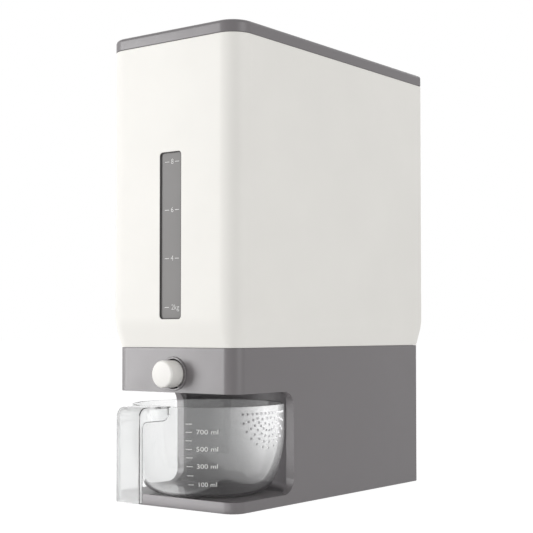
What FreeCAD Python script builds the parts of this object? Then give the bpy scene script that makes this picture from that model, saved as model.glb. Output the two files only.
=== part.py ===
"""Countertop rice dispenser: a tall bin with a lift-off lid on a base that holds a clear measuring cup.

Millimetres, +Z up.  The origin is the middle of the body's underside, the front faces -Y and the
width runs along X.  Pressing the button slides a gate plate rearwards, which lines its port up with
the outlet of the hopper, and the grain falls into the cup that stands in the open bay below.
"""
import FreeCAD, Part
import math
import os

os.makedirs("parts", exist_ok=True)
Vec = FreeCAD.Vector
X_AXIS = Vec(1, 0, 0)
Y_AXIS = Vec(0, 1, 0)
Z_AXIS = Vec(0, 0, 1)

# ---------------------------------------------------------------- driving dimensions
# body as a whole
body_width = 162.5
body_depth = 330.0
body_height = 450.0
front_corner_r = 21.3
rear_corner_r = 2.0
shell_wall = 2.5
seam_gap = 0.25            # hairline between mouldings of one body
snug_gap = 0.05            # between a soft or set-in piece and its seat
moving_gap = 0.3           # air between pieces that move past each other

# lid
lid_height = 12.0
lid_edge_r = 3.6
lid_top_wall = 2.4
plug_depth = 22.0          # from the lid's top skin down into the bin mouth
plug_wall = 2.0
plug_play = 0.6            # between the plug and the bin wall
lid_rib = 1.6
lid_rib_depth = 7.0
lid_rib_shares = (-0.5, 0.0, 0.5)  # of the plug's depth, where the cross ribs stand
seal_height = 3.0
seal_groove_depth = 1.0
seal_drop = 4.0            # from the bin rim down to the seal

# bin and base
base_inset = 6.8           # the base is this much slimmer at its front and sides
taper_height = 23.0
spigot_depth = 8.0
spigot_wall = 2.2
bin_flange = 2.4           # thickness of the floor flange above the spigot
boss_web = 2.0
bin_pilot_depth = 9.0

# level window
window_width = 25.5
window_offset = 2.0        # its centre stands this far to the right of the middle
window_rise = 26.8         # of its foot above the base
window_drop = 116.0        # of its top below the top of the body
window_corner_r = 3.5
window_recess = 1.6
window_pane = 2.0
window_lip = 4.0
window_squeeze = 0.1       # of the pane's edge in its opening

# hopper
hopper_wall = 2.2
hopper_rear_rise = 84.0    # of the sloping floor, from the neck to the rear wall
hopper_side_rise = 74.0
hopper_front_rise = 44.0
outlet_length = 42.4       # along X
outlet_width = 10.4        # along Y
outlet_wall = 2.0
neck_gap = 0.5             # between the neck's foot and the gate plate
hopper_lift = 1.2          # of the floor above the cover of the gate

# bay
bay_floor = 10.4
bay_headroom = 12.0        # above the cup's rim
bay_skin = 2.4
bay_corner_r = 15.0
niche_gap = 2.4            # between the cup's rim and the rounded rear wall
niche_foot_r = 5.0
strip_width = 8.9          # flat frame each side of the rounded rear wall
liner_flange = 2.2
liner_foot = 3.0           # of the flange below the floor of the bay

# measuring cup
cup_height = 85.3
cup_side_gap = 0.9         # between its rim and the outside face of the base
cup_overhang = 22.2        # of its rim past the front of the base
cup_wall = 2.0
cup_straight = 26.5        # upright stretch below the rim
cup_side_arc_r = 117.0
cup_foot_r = 21.0
side_flats = 2              # flats that stand for each arc of the cup's wall
foot_flats = 3
handle_width = 28.4
handle_reach = 39.5        # from the rim out to the face of the grip
handle_skin = 2.2
grip_flange = 4.8
arm_flange = 13.5
handle_bend_r = 8.0
handle_inner_r = 5.0
grip_foot_gap = 1.5        # under the free end of the grip
handle_rise = 1.0          # of the arm above the rim
arm_haunch = 6.0           # extra height of the arm where it meets the wall
arm_haunch_reach = 5.0
strainer_pitch = 7.6
strainer_rings = 4
strainer_hole = 2.9
strainer_drop = 7.0        # from the rim down to the middle of the fan of holes

# button and gate
button_rise = 17.6         # of its axis above the ceiling of the bay
button_d = 26.0
button_proud = 17.0
button_nose_r = 3.5
nose_flats = 2
button_wall = 2.0
button_skirt = 6.0         # length of the cap inside the front wall
collar_gap = 1.5           # round the button
collar_wall = 1.8
collar_land = 0.1          # between the collar and the spigot above it
collar_proud = 1.2
collar_depth = 4.5
gate_travel = 12.5
gate_plate = 2.4
gate_margin = 4.0          # of plate in front of the port
gate_port_extra = 1.6      # port longer than the outlet
gate_half_width = 27.0
gate_ear = 9.0             # reach of the spring ears past the plate
gate_ear_thick = 3.0
stem_width = 16.0
stem_thick = 4.0
stem_socket_d = 10.0
stem_web = 2.5
socket_wall = 1.6
gate_land = 8.0            # of plate behind the outlet
ear_setback = 1.5          # of the spring ears from the plate's rear edge
spring_peg = 3.0
housing_floor = 2.2
housing_wall = 2.0
housing_rim = 8.0          # height of the side walls above the floor
housing_ear_r = 4.2
housing_ear_thick = 3.0
rail_width = 2.0           # of the rails that keep the springs in line
rail_height = 3.0
cover_plate = 2.2
chute_drop = 4.0           # of the chute below the bay ceiling
chute_grow = 1.0           # the chute is this much wider than the outlet on every side
gate_seal_wall = 1.6

# return springs
spring_d = 5.4
spring_wire = 0.8
spring_rest = 30.0
spring_turns = 5
spring_steps = 8           # straight lengths in one turn
spring_sides = 5

# underside and fixings
pad_height = 2.2           # of the rubber pads, which is how far the base plate stands up
base_plate_thick = 2.4
foot_d = 16.0
foot_sides = 24
foot_peg_d = 5.0
foot_bulb_d = 6.6
foot_bulb_height = 2.4
foot_inset = 16.0
foot_front_shift = 14.0    # keeps the front feet clear of the screws
post_front_inset = 14.0
post_front_shift = 16.0
post_rear_shift = 40.0
screw_head_d = 5.6
screw_head_h = 1.7
screw_root = 0.5           # of the shank inside its own head
screw_pilot_d = 2.6
screw_clear_d = 3.4
boss_d = 7.5
small_sides = 8            # sides of screws, bosses and pilot holes
plate_screw_length = 5.3
bin_screw_length = 11.0
gate_screw_length = 9.0
ledge_thick = 2.5
ledge_size = 17.0
ledge_root = 2.0           # of the ledge past the boss, into the walls

# ---------------------------------------------------------------- places worked out from them
half_w = body_width / 2
front_y = -body_depth / 2
rear_y = body_depth / 2
bin_top = body_height - lid_height
cup_foot = bay_floor + moving_gap
cup_rim = cup_foot + cup_height
bay_ceiling = cup_rim + bay_headroom
button_height = bay_ceiling + button_rise
collar_bore_d = button_d + 2 * collar_gap
collar_d = collar_bore_d + 2 * collar_wall
base_height = button_height + collar_d / 2 + collar_land + spigot_depth
window_bottom = base_height + window_rise
window_top = body_height - window_drop
base_half = half_w - base_inset
base_front = front_y + base_inset
base_in_half = base_half - shell_wall
base_in_front = base_front + shell_wall
base_in_rear = rear_y - shell_wall

cup_r = base_half - cup_side_gap
cup_y = base_front - cup_overhang + cup_r
niche_r = cup_r + niche_gap
mouth_half = base_half - strip_width
strip_y = cup_y + math.sqrt(niche_r ** 2 - mouth_half ** 2)

outlet_y = cup_y
floor_top = bay_ceiling + bay_skin
housing_z = floor_top + seam_gap
channel_z = housing_z + housing_floor
plate_z = channel_z + moving_gap
plate_top = plate_z + gate_plate
housing_top = channel_z + housing_rim - housing_floor
cover_z = housing_top + seam_gap
cover_top = cover_z + cover_plate
neck_z = plate_top + neck_gap
hopper_z = cover_top + hopper_lift
port_y = outlet_y - gate_travel
port_half = (outlet_width + gate_port_extra) / 2
plate_front = port_y - port_half - gate_margin
plate_rear = outlet_y + outlet_width / 2 + gate_land
ear_y = plate_rear - ear_setback
housing_front_y = plate_front - moving_gap
spring_front_y = ear_y
spring_back_y = ear_y + spring_rest
housing_rear_y = spring_back_y
spring_x = gate_half_width + gate_ear / 2
spring_z = channel_z + moving_gap + spring_d / 2
channel_half = gate_half_width + gate_ear + moving_gap
ear_z = housing_top - housing_ear_thick
housing_half = channel_half + housing_wall
button_front = base_front - button_proud
button_back = base_in_front + button_skirt
plate_top_z = pad_height + base_plate_thick
ledge_z = base_height - spigot_depth - ledge_thick
post_top = bay_floor - bay_skin + 1


# ---------------------------------------------------------------- shared shapes
def plan_wire(side_inset, rear_inset, z):
    """Plan outline of the body: large corners in front, nearly square ones behind."""
    x = half_w - side_inset
    y0 = front_y + side_inset
    y1 = rear_y - rear_inset
    rf = front_corner_r - side_inset
    rr = max(rear_corner_r - rear_inset, 0.4)
    return rounded_wire(-x, y0, x, y1, (rf, rf, rr, rr), z)


def rounded_wire(x0, y0, x1, y1, radii, z):
    """Rectangle with its own radius at each corner, from the front left one anticlockwise."""
    corners = (
        (x0, y0, 180, radii[0], 1, 1),
        (x1, y0, 270, radii[1], -1, 1),
        (x1, y1, 0, radii[2], -1, -1),
        (x0, y1, 90, radii[3], 1, -1),
    )
    arcs = []
    for cx, cy, start, r, sx, sy in corners:
        centre = Vec(cx + sx * r, cy + sy * r, z)
        circle = Part.Circle(centre, Z_AXIS, r)
        arcs.append(Part.Arc(circle, math.radians(start), math.radians(start + 90)).toShape())
    edges = []
    for i, arc in enumerate(arcs):
        following = arcs[(i + 1) % len(arcs)]
        edges.append(arc)
        edges.append(Part.makeLine(arc.lastVertex().Point, following.firstVertex().Point))
    return Part.Wire(edges)


def prism(wire, height):
    return Part.Face(wire).extrude(Z_AXIS * height)


def plan_prism(side_inset, rear_inset, z0, z1):
    return prism(plan_wire(side_inset, rear_inset, z0), z1 - z0)


def ring(outer_inset, inner_inset, z0, z1):
    """Upright band that follows the plan; each inset is (sides and front, rear)."""
    outer = plan_prism(*outer_inset, z0, z1)
    return outer.cut(plan_prism(*inner_inset, z0 - 1, z1 + 1))


def block(x0, x1, y0, y1, z0, z1):
    return Part.makeBox(x1 - x0, y1 - y0, z1 - z0, Vec(x0, y0, z0))


def stub(x, y, z0, z1, d, sides=small_sides):
    """Small upright rod or hole with a few flat sides."""
    corners = []
    for i in range(sides + 1):
        a = 2 * math.pi * (i + 0.5) / sides
        corners.append(Vec(x + d / 2 * math.cos(a), y + d / 2 * math.sin(a), z0))
    return prism(Part.makePolygon(corners), z1 - z0)


def rod_y(x, z, y0, y1, d):
    return Part.makeCylinder(d / 2, y1 - y0, Vec(x, y0, z), Y_AXIS)


def side_profile(points, half_x):
    """Closed outline in (y, z), extruded evenly each side of the middle plane."""
    wire = Part.makePolygon([Vec(-half_x, y, z) for y, z in points + points[:1]])
    return Part.Face(wire).extrude(X_AXIS * (2 * half_x))


def front_profile(points, y0, y1):
    """Closed outline in (x, z), extruded from y0 to y1."""
    wire = Part.makePolygon([Vec(x, y0, z) for x, z in points + points[:1]])
    return Part.Face(wire).extrude(Y_AXIS * (y1 - y0))


def edges_where(shape, test):
    return [e for e in shape.Edges if test(e.BoundBox)]


def edges_at_height(shape, z):
    return edges_where(shape, lambda b: abs(b.ZMin - z) < 1e-4 and abs(b.ZMax - z) < 1e-4)


def fuse(first, *others):
    return first.multiFuse(list(others)).removeSplitter()


def turned(points, centre_y):
    """Solid of revolution about the upright axis at (0, centre_y) from (r, z) points."""
    face = Part.Face(Part.makePolygon([Vec(r, 0, z) for r, z in points + points[:1]]))
    solid = face.revolve(Vec(0, 0, 0), Z_AXIS, 360)
    solid.translate(Vec(0, centre_y, 0))
    return solid


# ---------------------------------------------------------------- lid
def lid_cover():
    top = plan_prism(0, 0, bin_top + seam_gap, body_height)
    top = top.makeFillet(lid_edge_r, edges_at_height(top, body_height))
    skin_z = body_height - lid_top_wall
    hollow = plan_prism(shell_wall, shell_wall, bin_top, skin_z)
    plug_inset = shell_wall + plug_play
    plug_foot = skin_z - plug_depth
    plug = ring((plug_inset,) * 2, (plug_inset + plug_wall,) * 2, plug_foot, skin_z + 0.5)
    lid = fuse(top.cut(hollow), plug, *lid_ribs(skin_z, plug_inset))
    seal_z = bin_top - seal_drop
    bottom = plug_inset + seal_groove_depth
    groove = ring((plug_inset - 1,) * 2, (bottom,) * 2, seal_z - seal_height, seal_z)
    return lid.cut(groove)


def lid_ribs(skin_z, plug_inset):
    """Stiffening ribs under the top skin, inside the plug."""
    reach_x = half_w - plug_inset - plug_wall / 2
    reach_y = body_depth / 2 - plug_inset - plug_wall / 2
    z0 = skin_z - lid_rib_depth
    ribs = [block(-lid_rib / 2, lid_rib / 2, -reach_y, reach_y, z0, skin_z + 0.5)]
    for share in lid_rib_shares:
        y = share * reach_y
        ribs.append(block(-reach_x, reach_x, y - lid_rib / 2, y + lid_rib / 2, z0, skin_z + 0.5))
    return ribs


def lid_seal():
    """Soft ring in the plug's groove that stands out towards the bin wall."""
    seal_z = bin_top - seal_drop - seam_gap
    foot_z = seal_z - seal_height + 2 * seam_gap
    groove_inset = shell_wall + plug_play + seal_groove_depth
    return ring((shell_wall + moving_gap,) * 2, (groove_inset,) * 2, foot_z, seal_z)


# ---------------------------------------------------------------- bin
def bin_outer():
    foot = plan_wire(base_inset, 0, base_height)
    shoulder = plan_wire(0, 0, base_height + taper_height)
    taper = Part.makeLoft([foot, shoulder], True, True)
    return taper.fuse(plan_prism(0, 0, base_height + taper_height, bin_top)).removeSplitter()


def bin_cavity(inset, top):
    """Inside of the bin, which follows the outside at one distance."""
    foot = plan_wire(base_inset + inset, inset, base_height)
    shoulder = plan_wire(inset, inset, base_height + taper_height)
    taper = Part.makeLoft([foot, shoulder], True, True)
    return taper.fuse(plan_prism(inset, inset, base_height + taper_height, top)).removeSplitter()


def window_outline(y, grow):
    x0 = window_offset - window_width / 2 - grow
    wire = rounded_wire(
        x0, window_bottom - grow, x0 + window_width + 2 * grow, window_top + grow,
        (window_corner_r + grow,) * 4, 0,
    )
    wire.rotate(Vec(0, 0, 0), X_AXIS, 90)
    wire.translate(Vec(0, y, 0))
    return wire


def window_prism(y0, y1, grow):
    return Part.Face(window_outline(y0, grow)).extrude(Y_AXIS * (y1 - y0))


def bin_fixing_points():
    """Where the bin is screwed to the base: one point near each inner corner."""
    x = base_in_half - ledge_size / 2
    front = base_in_front + ledge_size / 2 + ledge_root
    rear = base_in_rear - ledge_size / 2
    return [(sx * x, y) for sx in (-1, 1) for y in (front, rear)]


def bin_bosses(foot_z, top_z):
    """Screw bosses inside the spigot, each with a web out to the side wall."""
    bosses = []
    half = boss_web / 2
    for x, y in bin_fixing_points():
        x0, x1 = sorted((x, math.copysign(base_in_half - 1, x)))
        bosses.append(stub(x, y, foot_z, top_z, boss_d))
        bosses.append(block(x0, x1, y - half, y + half, foot_z, top_z))
    return bosses


def bin_shell():
    shell = bin_outer().cut(bin_cavity(shell_wall, bin_top + 1))
    spigot_out = base_inset + shell_wall + seam_gap
    spigot_rear = shell_wall + seam_gap
    inner = (spigot_out + spigot_wall, spigot_rear + spigot_wall)
    flange_top = base_height + bin_flange
    flange = ring((base_inset, 0), inner, base_height, flange_top)
    foot_z = base_height - spigot_depth + seam_gap
    spigot = ring((spigot_out, spigot_rear), inner, foot_z, base_height + 1)
    pilot_top = foot_z + bin_pilot_depth
    pilots = [stub(x, y, foot_z - 1, pilot_top, screw_pilot_d) for x, y in bin_fixing_points()]
    shell = fuse(shell, flange, spigot, *bin_bosses(foot_z, flange_top))
    shell = shell.cut(Part.makeCompound(pilots))
    return shell.cut(window_prism(front_y - 1, front_y + shell_wall + 1, 0))


def level_window():
    """Pane set into the front from behind, with a lip that bears on the inside of the wall."""
    face_y = front_y + window_recess
    back_y = front_y + shell_wall
    pane = window_prism(face_y, back_y + window_pane, -window_squeeze)
    lip = window_prism(back_y + snug_gap, back_y + window_pane, window_lip)
    return fuse(pane, lip)


# ---------------------------------------------------------------- hopper
def hopper_space(grow, low, high):
    """Room bounded by the four sloping floors; grow moves every slope outwards."""
    x0 = outlet_length / 2
    y0 = outlet_y - outlet_width / 2
    y1 = outlet_y + outlet_width / 2
    x_far = half_w + 5
    side_slope = hopper_side_rise / (base_in_half + base_inset - x0)
    rear_slope = hopper_rear_rise / (rear_y - y1)
    front_slope = hopper_front_rise / (y0 - front_y)
    side_drop = grow * math.hypot(1, side_slope)
    rear_drop = grow * math.hypot(1, rear_slope)
    front_drop = grow * math.hypot(1, front_slope)
    across = front_profile(
        [(-x0, low - side_drop), (x0, low - side_drop),
         (x_far, low - side_drop + side_slope * (x_far - x0)), (x_far, high),
         (-x_far, high), (-x_far, low - side_drop + side_slope * (x_far - x0))],
        front_y - 5, rear_y + 5,
    )
    y_front = front_y - 5
    y_rear = rear_y + 5
    along = side_profile(
        [(y_front, low - front_drop + front_slope * (y0 - y_front)), (y0, low - front_drop),
         (y1, low - rear_drop), (y_rear, low - rear_drop + rear_slope * (y_rear - y1)),
         (y_rear, high), (y_front, high)],
        x_far,
    )
    return across.common(along)


def hopper_floor():
    top = hopper_z + hopper_rear_rise + base_height / 2
    outer = hopper_space(hopper_wall, hopper_z, top)
    funnel = outer.cut(hopper_space(0, hopper_z, top + 1))
    funnel = funnel.common(hopper_keep(top))
    x = outlet_length / 2
    y = outlet_width / 2
    w = outlet_wall
    neck = block(-x - w, x + w, outlet_y - y - w, outlet_y + y + w, neck_z, hopper_z + 2 * w)
    bore = block(-x, x, outlet_y - y, outlet_y + y, neck_z - 1, hopper_z + 4 * w)
    above = hopper_space(0, hopper_z, top + 1)
    return fuse(funnel, neck).cut(bore).cut(above)


def hopper_keep(top):
    """The inside of the bin and of its spigot, less a small fitting gap."""
    gap = moving_gap
    waist_z = base_height + bin_flange + gap
    low = plan_prism(
        base_inset + shell_wall + seam_gap + spigot_wall + gap,
        shell_wall + seam_gap + spigot_wall + gap, cover_top, waist_z,
    )
    high = bin_cavity(shell_wall + gap, top)
    high = high.common(block(-half_w, half_w, front_y, rear_y, waist_z, top))
    keep = low.fuse(high)
    for x, y in bin_fixing_points():
        keep = keep.cut(stub(x, y, cover_top, waist_z, boss_d + 4 * gap))
    return keep


# ---------------------------------------------------------------- gate
def gate_fixing_points():
    x = housing_half + boss_d / 2 + seam_gap
    front = housing_front_y + housing_ear_r
    rear = housing_rear_y - housing_ear_r - 1
    return [(sx * x, y) for sx in (-1, 1) for y in (front, rear)]


def gate_ears(z0, z1):
    """Rounded lugs at the four fixing points, joined to the side of the housing."""
    lugs = []
    r = housing_ear_r
    for x, y in gate_fixing_points():
        x0, x1 = sorted((x, math.copysign(housing_half - 1, x)))
        lugs.append(stub(x, y, z0, z1, 2 * r))
        lugs.append(block(x0, x1, y - r, y + r, z0, z1))
    return lugs


def outlet_block(grow, z0, z1):
    x = outlet_length / 2 + grow
    y = outlet_width / 2 + grow
    return block(-x, x, outlet_y - y, outlet_y + y, z0, z1)


def spring_rails():
    """Two low rails on the tray floor that keep the springs in line."""
    y0 = plate_rear + gate_travel + 1
    y1 = housing_rear_y + 1
    half = rail_width / 2
    top = channel_z + rail_height
    lines = (-gate_half_width, gate_half_width)
    return [block(x - half, x + half, y0, y1, channel_z - 1, top) for x in lines]


def gate_housing():
    """Open tray that guides the gate plate, with the chute under it and an ear at each corner."""
    w = housing_wall
    front = housing_front_y - w
    body = block(-housing_half, housing_half, front, housing_rear_y + w, housing_z, housing_top)
    channel = block(-channel_half, channel_half, housing_front_y, housing_rear_y, channel_z, housing_top + 1)
    slot_half = stem_width / 2 + moving_gap
    slot = block(-slot_half, slot_half, front - 1, housing_front_y + 1, channel_z, housing_top + 1)
    chute_foot = bay_ceiling - chute_drop
    chute = outlet_block(outlet_wall + chute_grow, chute_foot, channel_z)
    tray = fuse(body, chute, *gate_ears(ear_z, housing_top)).cut(channel).cut(slot)
    tray = fuse(tray, *spring_rails())
    tray = tray.cut(outlet_block(chute_grow, chute_foot - 1, housing_top))
    holes = [stub(x, y, housing_z, housing_top + 1, screw_clear_d) for x, y in gate_fixing_points()]
    return tray.cut(Part.makeCompound(holes))


def gate_cover():
    w = housing_wall
    front = housing_front_y - w
    plate = block(-housing_half, housing_half, front, housing_rear_y + w, cover_z, cover_top)
    cover = fuse(plate, *gate_ears(cover_z, cover_top))
    cover = cover.cut(outlet_block(outlet_wall + seam_gap, cover_z - 1, cover_top + 1))
    holes = [stub(x, y, cover_z - 1, cover_top + 1, screw_clear_d) for x, y in gate_fixing_points()]
    return cover.cut(Part.makeCompound(holes))


def gate_seal():
    """Soft collar round the neck of the hopper that wipes the gate plate."""
    z0 = plate_top + moving_gap
    outer = outlet_block(outlet_wall + seam_gap + gate_seal_wall, z0, cover_z)
    return outer.cut(outlet_block(outlet_wall + snug_gap, z0 - 1, cover_z + 1))


def spring_ears():
    """Ears that stand out from the rear of the plate, each with a peg for its spring."""
    z1 = spring_z + spring_d / 2
    peg_d = spring_d - 2 * spring_wire - 2 * moving_gap
    pieces = []
    for side in (-1, 1):
        tip = side * (gate_half_width + gate_ear)
        root = side * (gate_half_width - 1.5)
        pieces.append(block(min(tip, root), max(tip, root), ear_y - gate_ear_thick, ear_y, plate_z, z1))
        pieces.append(rod_y(side * spring_x, spring_z, ear_y - 1, ear_y + spring_peg, peg_d))
    return pieces


def gate_slide():
    """Plate with the port, two ears that push the springs, and a stem that carries the button."""
    plate = block(-gate_half_width, gate_half_width, plate_front, plate_rear, plate_z, plate_top)
    half = stem_width / 2
    web_y = button_back - button_skirt / 2
    stem = block(-half, half, web_y, plate_front, plate_z, plate_z + stem_thick)
    web = block(-half, half, web_y, web_y + stem_web, plate_z, button_height + stem_socket_d / 2)
    boss_y = button_front + button_wall + 1
    boss = stub(0, 0, -1, web_y - boss_y, stem_socket_d - 2 * seam_gap)
    boss.rotate(Vec(0, 0, 0), X_AXIS, 90)
    boss.translate(Vec(0, web_y, button_height))
    port_x = outlet_length / 2 + chute_grow
    port = block(-port_x, port_x, port_y - port_half, port_y + port_half, plate_z - 1, plate_top + 1)
    return fuse(plate, stem, web, boss, *spring_ears()).cut(port)


def button_cap():
    """Hollow cap with a rounded nose and a socket that grips the boss of the stem."""
    length = button_back - button_front
    r = button_d / 2
    corner = (r - button_nose_r, length - button_nose_r)
    nose = arc_points(corner, button_nose_r, 0, math.pi / 2, nose_flats)
    cap = turned([(0, 0), (r, 0)] + nose + [(0, length)], 0)
    depth = length - button_wall
    cap = cap.cut(Part.makeCylinder(r - button_wall, depth + 1, Vec(0, 0, -1), Z_AXIS))
    grip = button_skirt / 2 + moving_gap
    socket = stub(0, 0, grip, depth + button_wall / 2, stem_socket_d + 2 * socket_wall)
    bore = stub(0, 0, -1, depth - 2 * moving_gap, stem_socket_d)
    slot_half = stem_width / 2 + moving_gap
    slot = block(-slot_half, slot_half, -button_d, 0, -1, grip)
    cap = fuse(cap, socket).cut(bore).cut(slot)
    cap.rotate(Vec(0, 0, 0), X_AXIS, 90)
    cap.translate(Vec(0, button_back, button_height))
    return cap


def return_spring(side):
    """Compression spring between an ear of the gate and the back of its housing."""
    coil_r = (spring_d - spring_wire) / 2
    rise = (spring_rest - 2 * spring_wire) / (spring_turns * spring_steps)
    points = []
    for i in range(spring_turns * spring_steps + 1):
        a = 2 * math.pi * i / spring_steps
        points.append(Vec(coil_r * math.cos(a), i * rise, coil_r * math.sin(a)))
    section = Part.Circle(points[0], points[1] - points[0], spring_wire / 2)
    corners = [section.value(2 * math.pi * i / spring_sides) for i in range(spring_sides + 1)]
    path = Part.makePolygon(points)
    mitred = 1
    coil = path.makePipeShell([Part.makePolygon(corners)], True, False, mitred)
    coil.translate(Vec(side * spring_x, spring_front_y + spring_wire, spring_z))
    return coil


# ---------------------------------------------------------------- base
def corner_arc(start, corner, end, r):
    """Quarter arc in a side view from start to end, rounding the given corner."""
    to_middle = (start + end - corner * 2).normalize()
    middle = corner + to_middle * (r * (math.sqrt(2) - 1))
    return Part.Arc(start, middle, end).toShape()


def bay_cut(grow, rear_y_plane, reach_x):
    """Opening of the bay seen from the side: open to the front, with two rounded rear corners."""
    y0 = base_front - front_corner_r
    y1 = rear_y_plane + grow
    z0 = bay_floor - grow
    z1 = bay_ceiling + grow
    r = bay_corner_r + grow
    low = [Vec(0, y1 - r, z0), Vec(0, y1, z0), Vec(0, y1, z0 + r)]
    high = [Vec(0, y1, z1 - r), Vec(0, y1, z1), Vec(0, y1 - r, z1)]
    edges = [
        Part.makeLine(Vec(0, y0, z0), low[0]),
        corner_arc(*low, r),
        Part.makeLine(low[2], high[0]),
        corner_arc(*high, r),
        Part.makeLine(high[2], Vec(0, y0, z1)),
        Part.makeLine(Vec(0, y0, z1), Vec(0, y0, z0)),
    ]
    face = Part.Face(Part.Wire(edges))
    face.translate(Vec(-reach_x, 0, 0))
    return face.extrude(X_AXIS * (2 * reach_x))


def niche_drum(r, z0, z1, foot_r):
    drum = Part.makeCylinder(r, z1 - z0, Vec(0, cup_y, z0), Z_AXIS)
    if foot_r > 0:
        drum = drum.makeChamfer(foot_r, edges_at_height(drum, z0) + edges_at_height(drum, z1))
    return drum


def base_outer():
    return plan_prism(base_inset, 0, 0, base_height)


def bay_decks():
    """Flat floor and ceiling that run back to the rounded rear wall."""
    y1 = strip_y + bay_skin
    levels = (bay_floor - bay_skin, bay_ceiling)
    return [block(-half_w, half_w, base_front, y1, z, z + bay_skin) for z in levels]


def button_collar():
    """Raised ring round the button's hole, and the hole itself."""
    y1 = base_front + collar_depth
    collar = rod_y(0, button_height, base_front - collar_proud, y1, collar_d)
    hole = rod_y(0, button_height, base_front - collar_proud - 1, y1 + 1, collar_bore_d)
    return collar, hole


def base_shell():
    outer = base_outer()
    inner = plan_prism(base_inset + shell_wall, shell_wall, -1, base_height + 1)
    walls = outer.cut(inner)
    opening = bay_cut(0, strip_y, body_width)
    trough = fuse(bay_cut(bay_skin, strip_y, body_width), *bay_decks()).common(outer)
    shell = fuse(walls, trough).cut(opening)
    shell = shell.cut(niche_drum(niche_r, bay_floor, bay_ceiling, niche_foot_r))
    collar, hole = button_collar()
    shell = fuse(shell, collar).cut(hole)
    shell = shell.cut(outlet_block(outlet_wall + chute_grow + seam_gap, bay_ceiling - 1, floor_top + 1))
    shell = fuse(shell, *base_ledges(), *base_posts(), *housing_bosses())
    return shell.cut(Part.makeCompound(base_pilots()))


def base_pilots():
    """Screw holes in the base: under the gate, in the posts and through the ledges."""
    gate_low = floor_top + bay_skin / 2
    pilots = [stub(x, y, gate_low, housing_top, screw_pilot_d) for x, y in gate_fixing_points()]
    for x, y in plate_fixing_points():
        pilots.append(stub(x, y, plate_top_z, post_top - 1.5, screw_pilot_d))
    for x, y in bin_fixing_points():
        pilots.append(stub(x, y, ledge_z - 1, ledge_z + ledge_thick + 1, screw_clear_d))
    return pilots


def base_ledges():
    """Corner shelves inside the top of the base, which the bin's bosses stand on."""
    z1 = ledge_z + ledge_thick
    inner = plan_prism(base_inset + shell_wall - 1, shell_wall - 1, ledge_z, z1)
    half = ledge_size / 2 + ledge_root
    return [block(x - half, x + half, y - half, y + half, ledge_z, z1).common(inner)
            for x, y in bin_fixing_points()]


def housing_bosses():
    return [stub(x, y, floor_top - 1, ear_z - seam_gap, boss_d) for x, y in gate_fixing_points()]


def plate_fixing_points():
    x_front = base_in_half - post_front_inset
    x_rear = base_in_half - boss_d / 2 + 0.5
    y_front = base_in_front + post_front_shift
    y_rear = base_in_rear - post_rear_shift
    return [(-x_front, y_front), (x_front, y_front), (-x_rear, y_rear), (x_rear, y_rear)]


def base_posts():
    """Screw posts under the floor of the bay and along the side walls."""
    return [stub(x, y, plate_top_z, post_top, boss_d) for x, y in plate_fixing_points()]


def bay_liner():
    """Rounded rear wall of the bay, closed above and below, with a flange behind the flat frame."""
    y0 = strip_y + bay_skin + seam_gap
    z0 = bay_floor - bay_skin
    z1 = bay_ceiling + bay_skin
    drum = niche_drum(niche_r + bay_skin, z0, z1, 0)
    behind = block(-half_w, half_w, y0, rear_y, z0 - 1, z1 + 1)
    drum = drum.common(behind)
    flange_half = base_in_half - seam_gap
    flange = block(-flange_half, flange_half, y0, y0 + liner_flange, z0 - liner_foot, z1)
    liner = fuse(drum, flange)
    return liner.cut(niche_drum(niche_r, bay_floor, bay_ceiling, niche_foot_r))


def base_plate():
    inset = base_inset + shell_wall + seam_gap
    plate = plan_prism(inset, shell_wall + seam_gap, pad_height, plate_top_z)
    top = plate_top_z + 1
    cuts = [stub(x, y, 0, top, foot_peg_d + 2 * moving_gap) for x, y in foot_points()]
    cuts += [stub(x, y, 0, top, screw_clear_d + moving_gap) for x, y in plate_fixing_points()]
    return plate.cut(Part.makeCompound(cuts))


def foot_points():
    x = base_in_half - foot_inset
    y_front = base_in_front + foot_inset + foot_front_shift
    y_rear = base_in_rear - foot_inset
    return [(-x, y_front), (x, y_front), (-x, y_rear), (x, y_rear)]


def rubber_foot(x, y):
    """Push-in pad: a disc, a neck through the plate and a bulb that holds it."""
    pad = stub(x, y, 0, pad_height, foot_d, foot_sides)
    neck = stub(x, y, pad_height / 2, plate_top_z + foot_bulb_height / 2, foot_peg_d)
    bulb = stub(x, y, plate_top_z + snug_gap, plate_top_z + foot_bulb_height, foot_bulb_d)
    return fuse(pad, neck, bulb)


# ---------------------------------------------------------------- fixings
def screw(x, y, seat_z, length, up):
    """Pan-head screw; up says which way its point goes from the seat."""
    way = 1 if up else -1
    z = sorted((seat_z, seat_z - way * screw_head_h))
    head = stub(x, y, z[0], z[1], screw_head_d)
    z = sorted((seat_z - way * screw_root, seat_z + way * length))
    shank = stub(x, y, z[0], z[1], screw_pilot_d - 0.1)
    return fuse(head, shank)


def screw_group(points, seat_z, length, up):
    return Part.makeCompound([screw(x, y, seat_z, length, up) for x, y in points])


# ---------------------------------------------------------------- measuring cup
def cup_outline(inset):
    """Half section of the cup: upright, then a wide arc that runs into the rounded foot."""
    r0 = cup_r - inset
    big = cup_side_arc_r - inset
    small = cup_foot_r - inset
    foot_z = cup_foot + inset
    top_z = cup_rim + (2 if inset else 0)
    big_c = (r0 - big, cup_rim - cup_straight)
    small_z = foot_z + small
    dz = small_z - big_c[1]
    small_c = (big_c[0] + math.sqrt((big - small) ** 2 - dz ** 2), small_z)
    join = math.atan2(dz, small_c[0] - big_c[0])
    points = [(0, top_z), (r0, top_z)]
    points += arc_points(big_c, big, 0, join, side_flats)
    points += arc_points(small_c, small, join, -math.pi / 2, foot_flats)[1:]
    points.append((0, foot_z))
    return points


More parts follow.
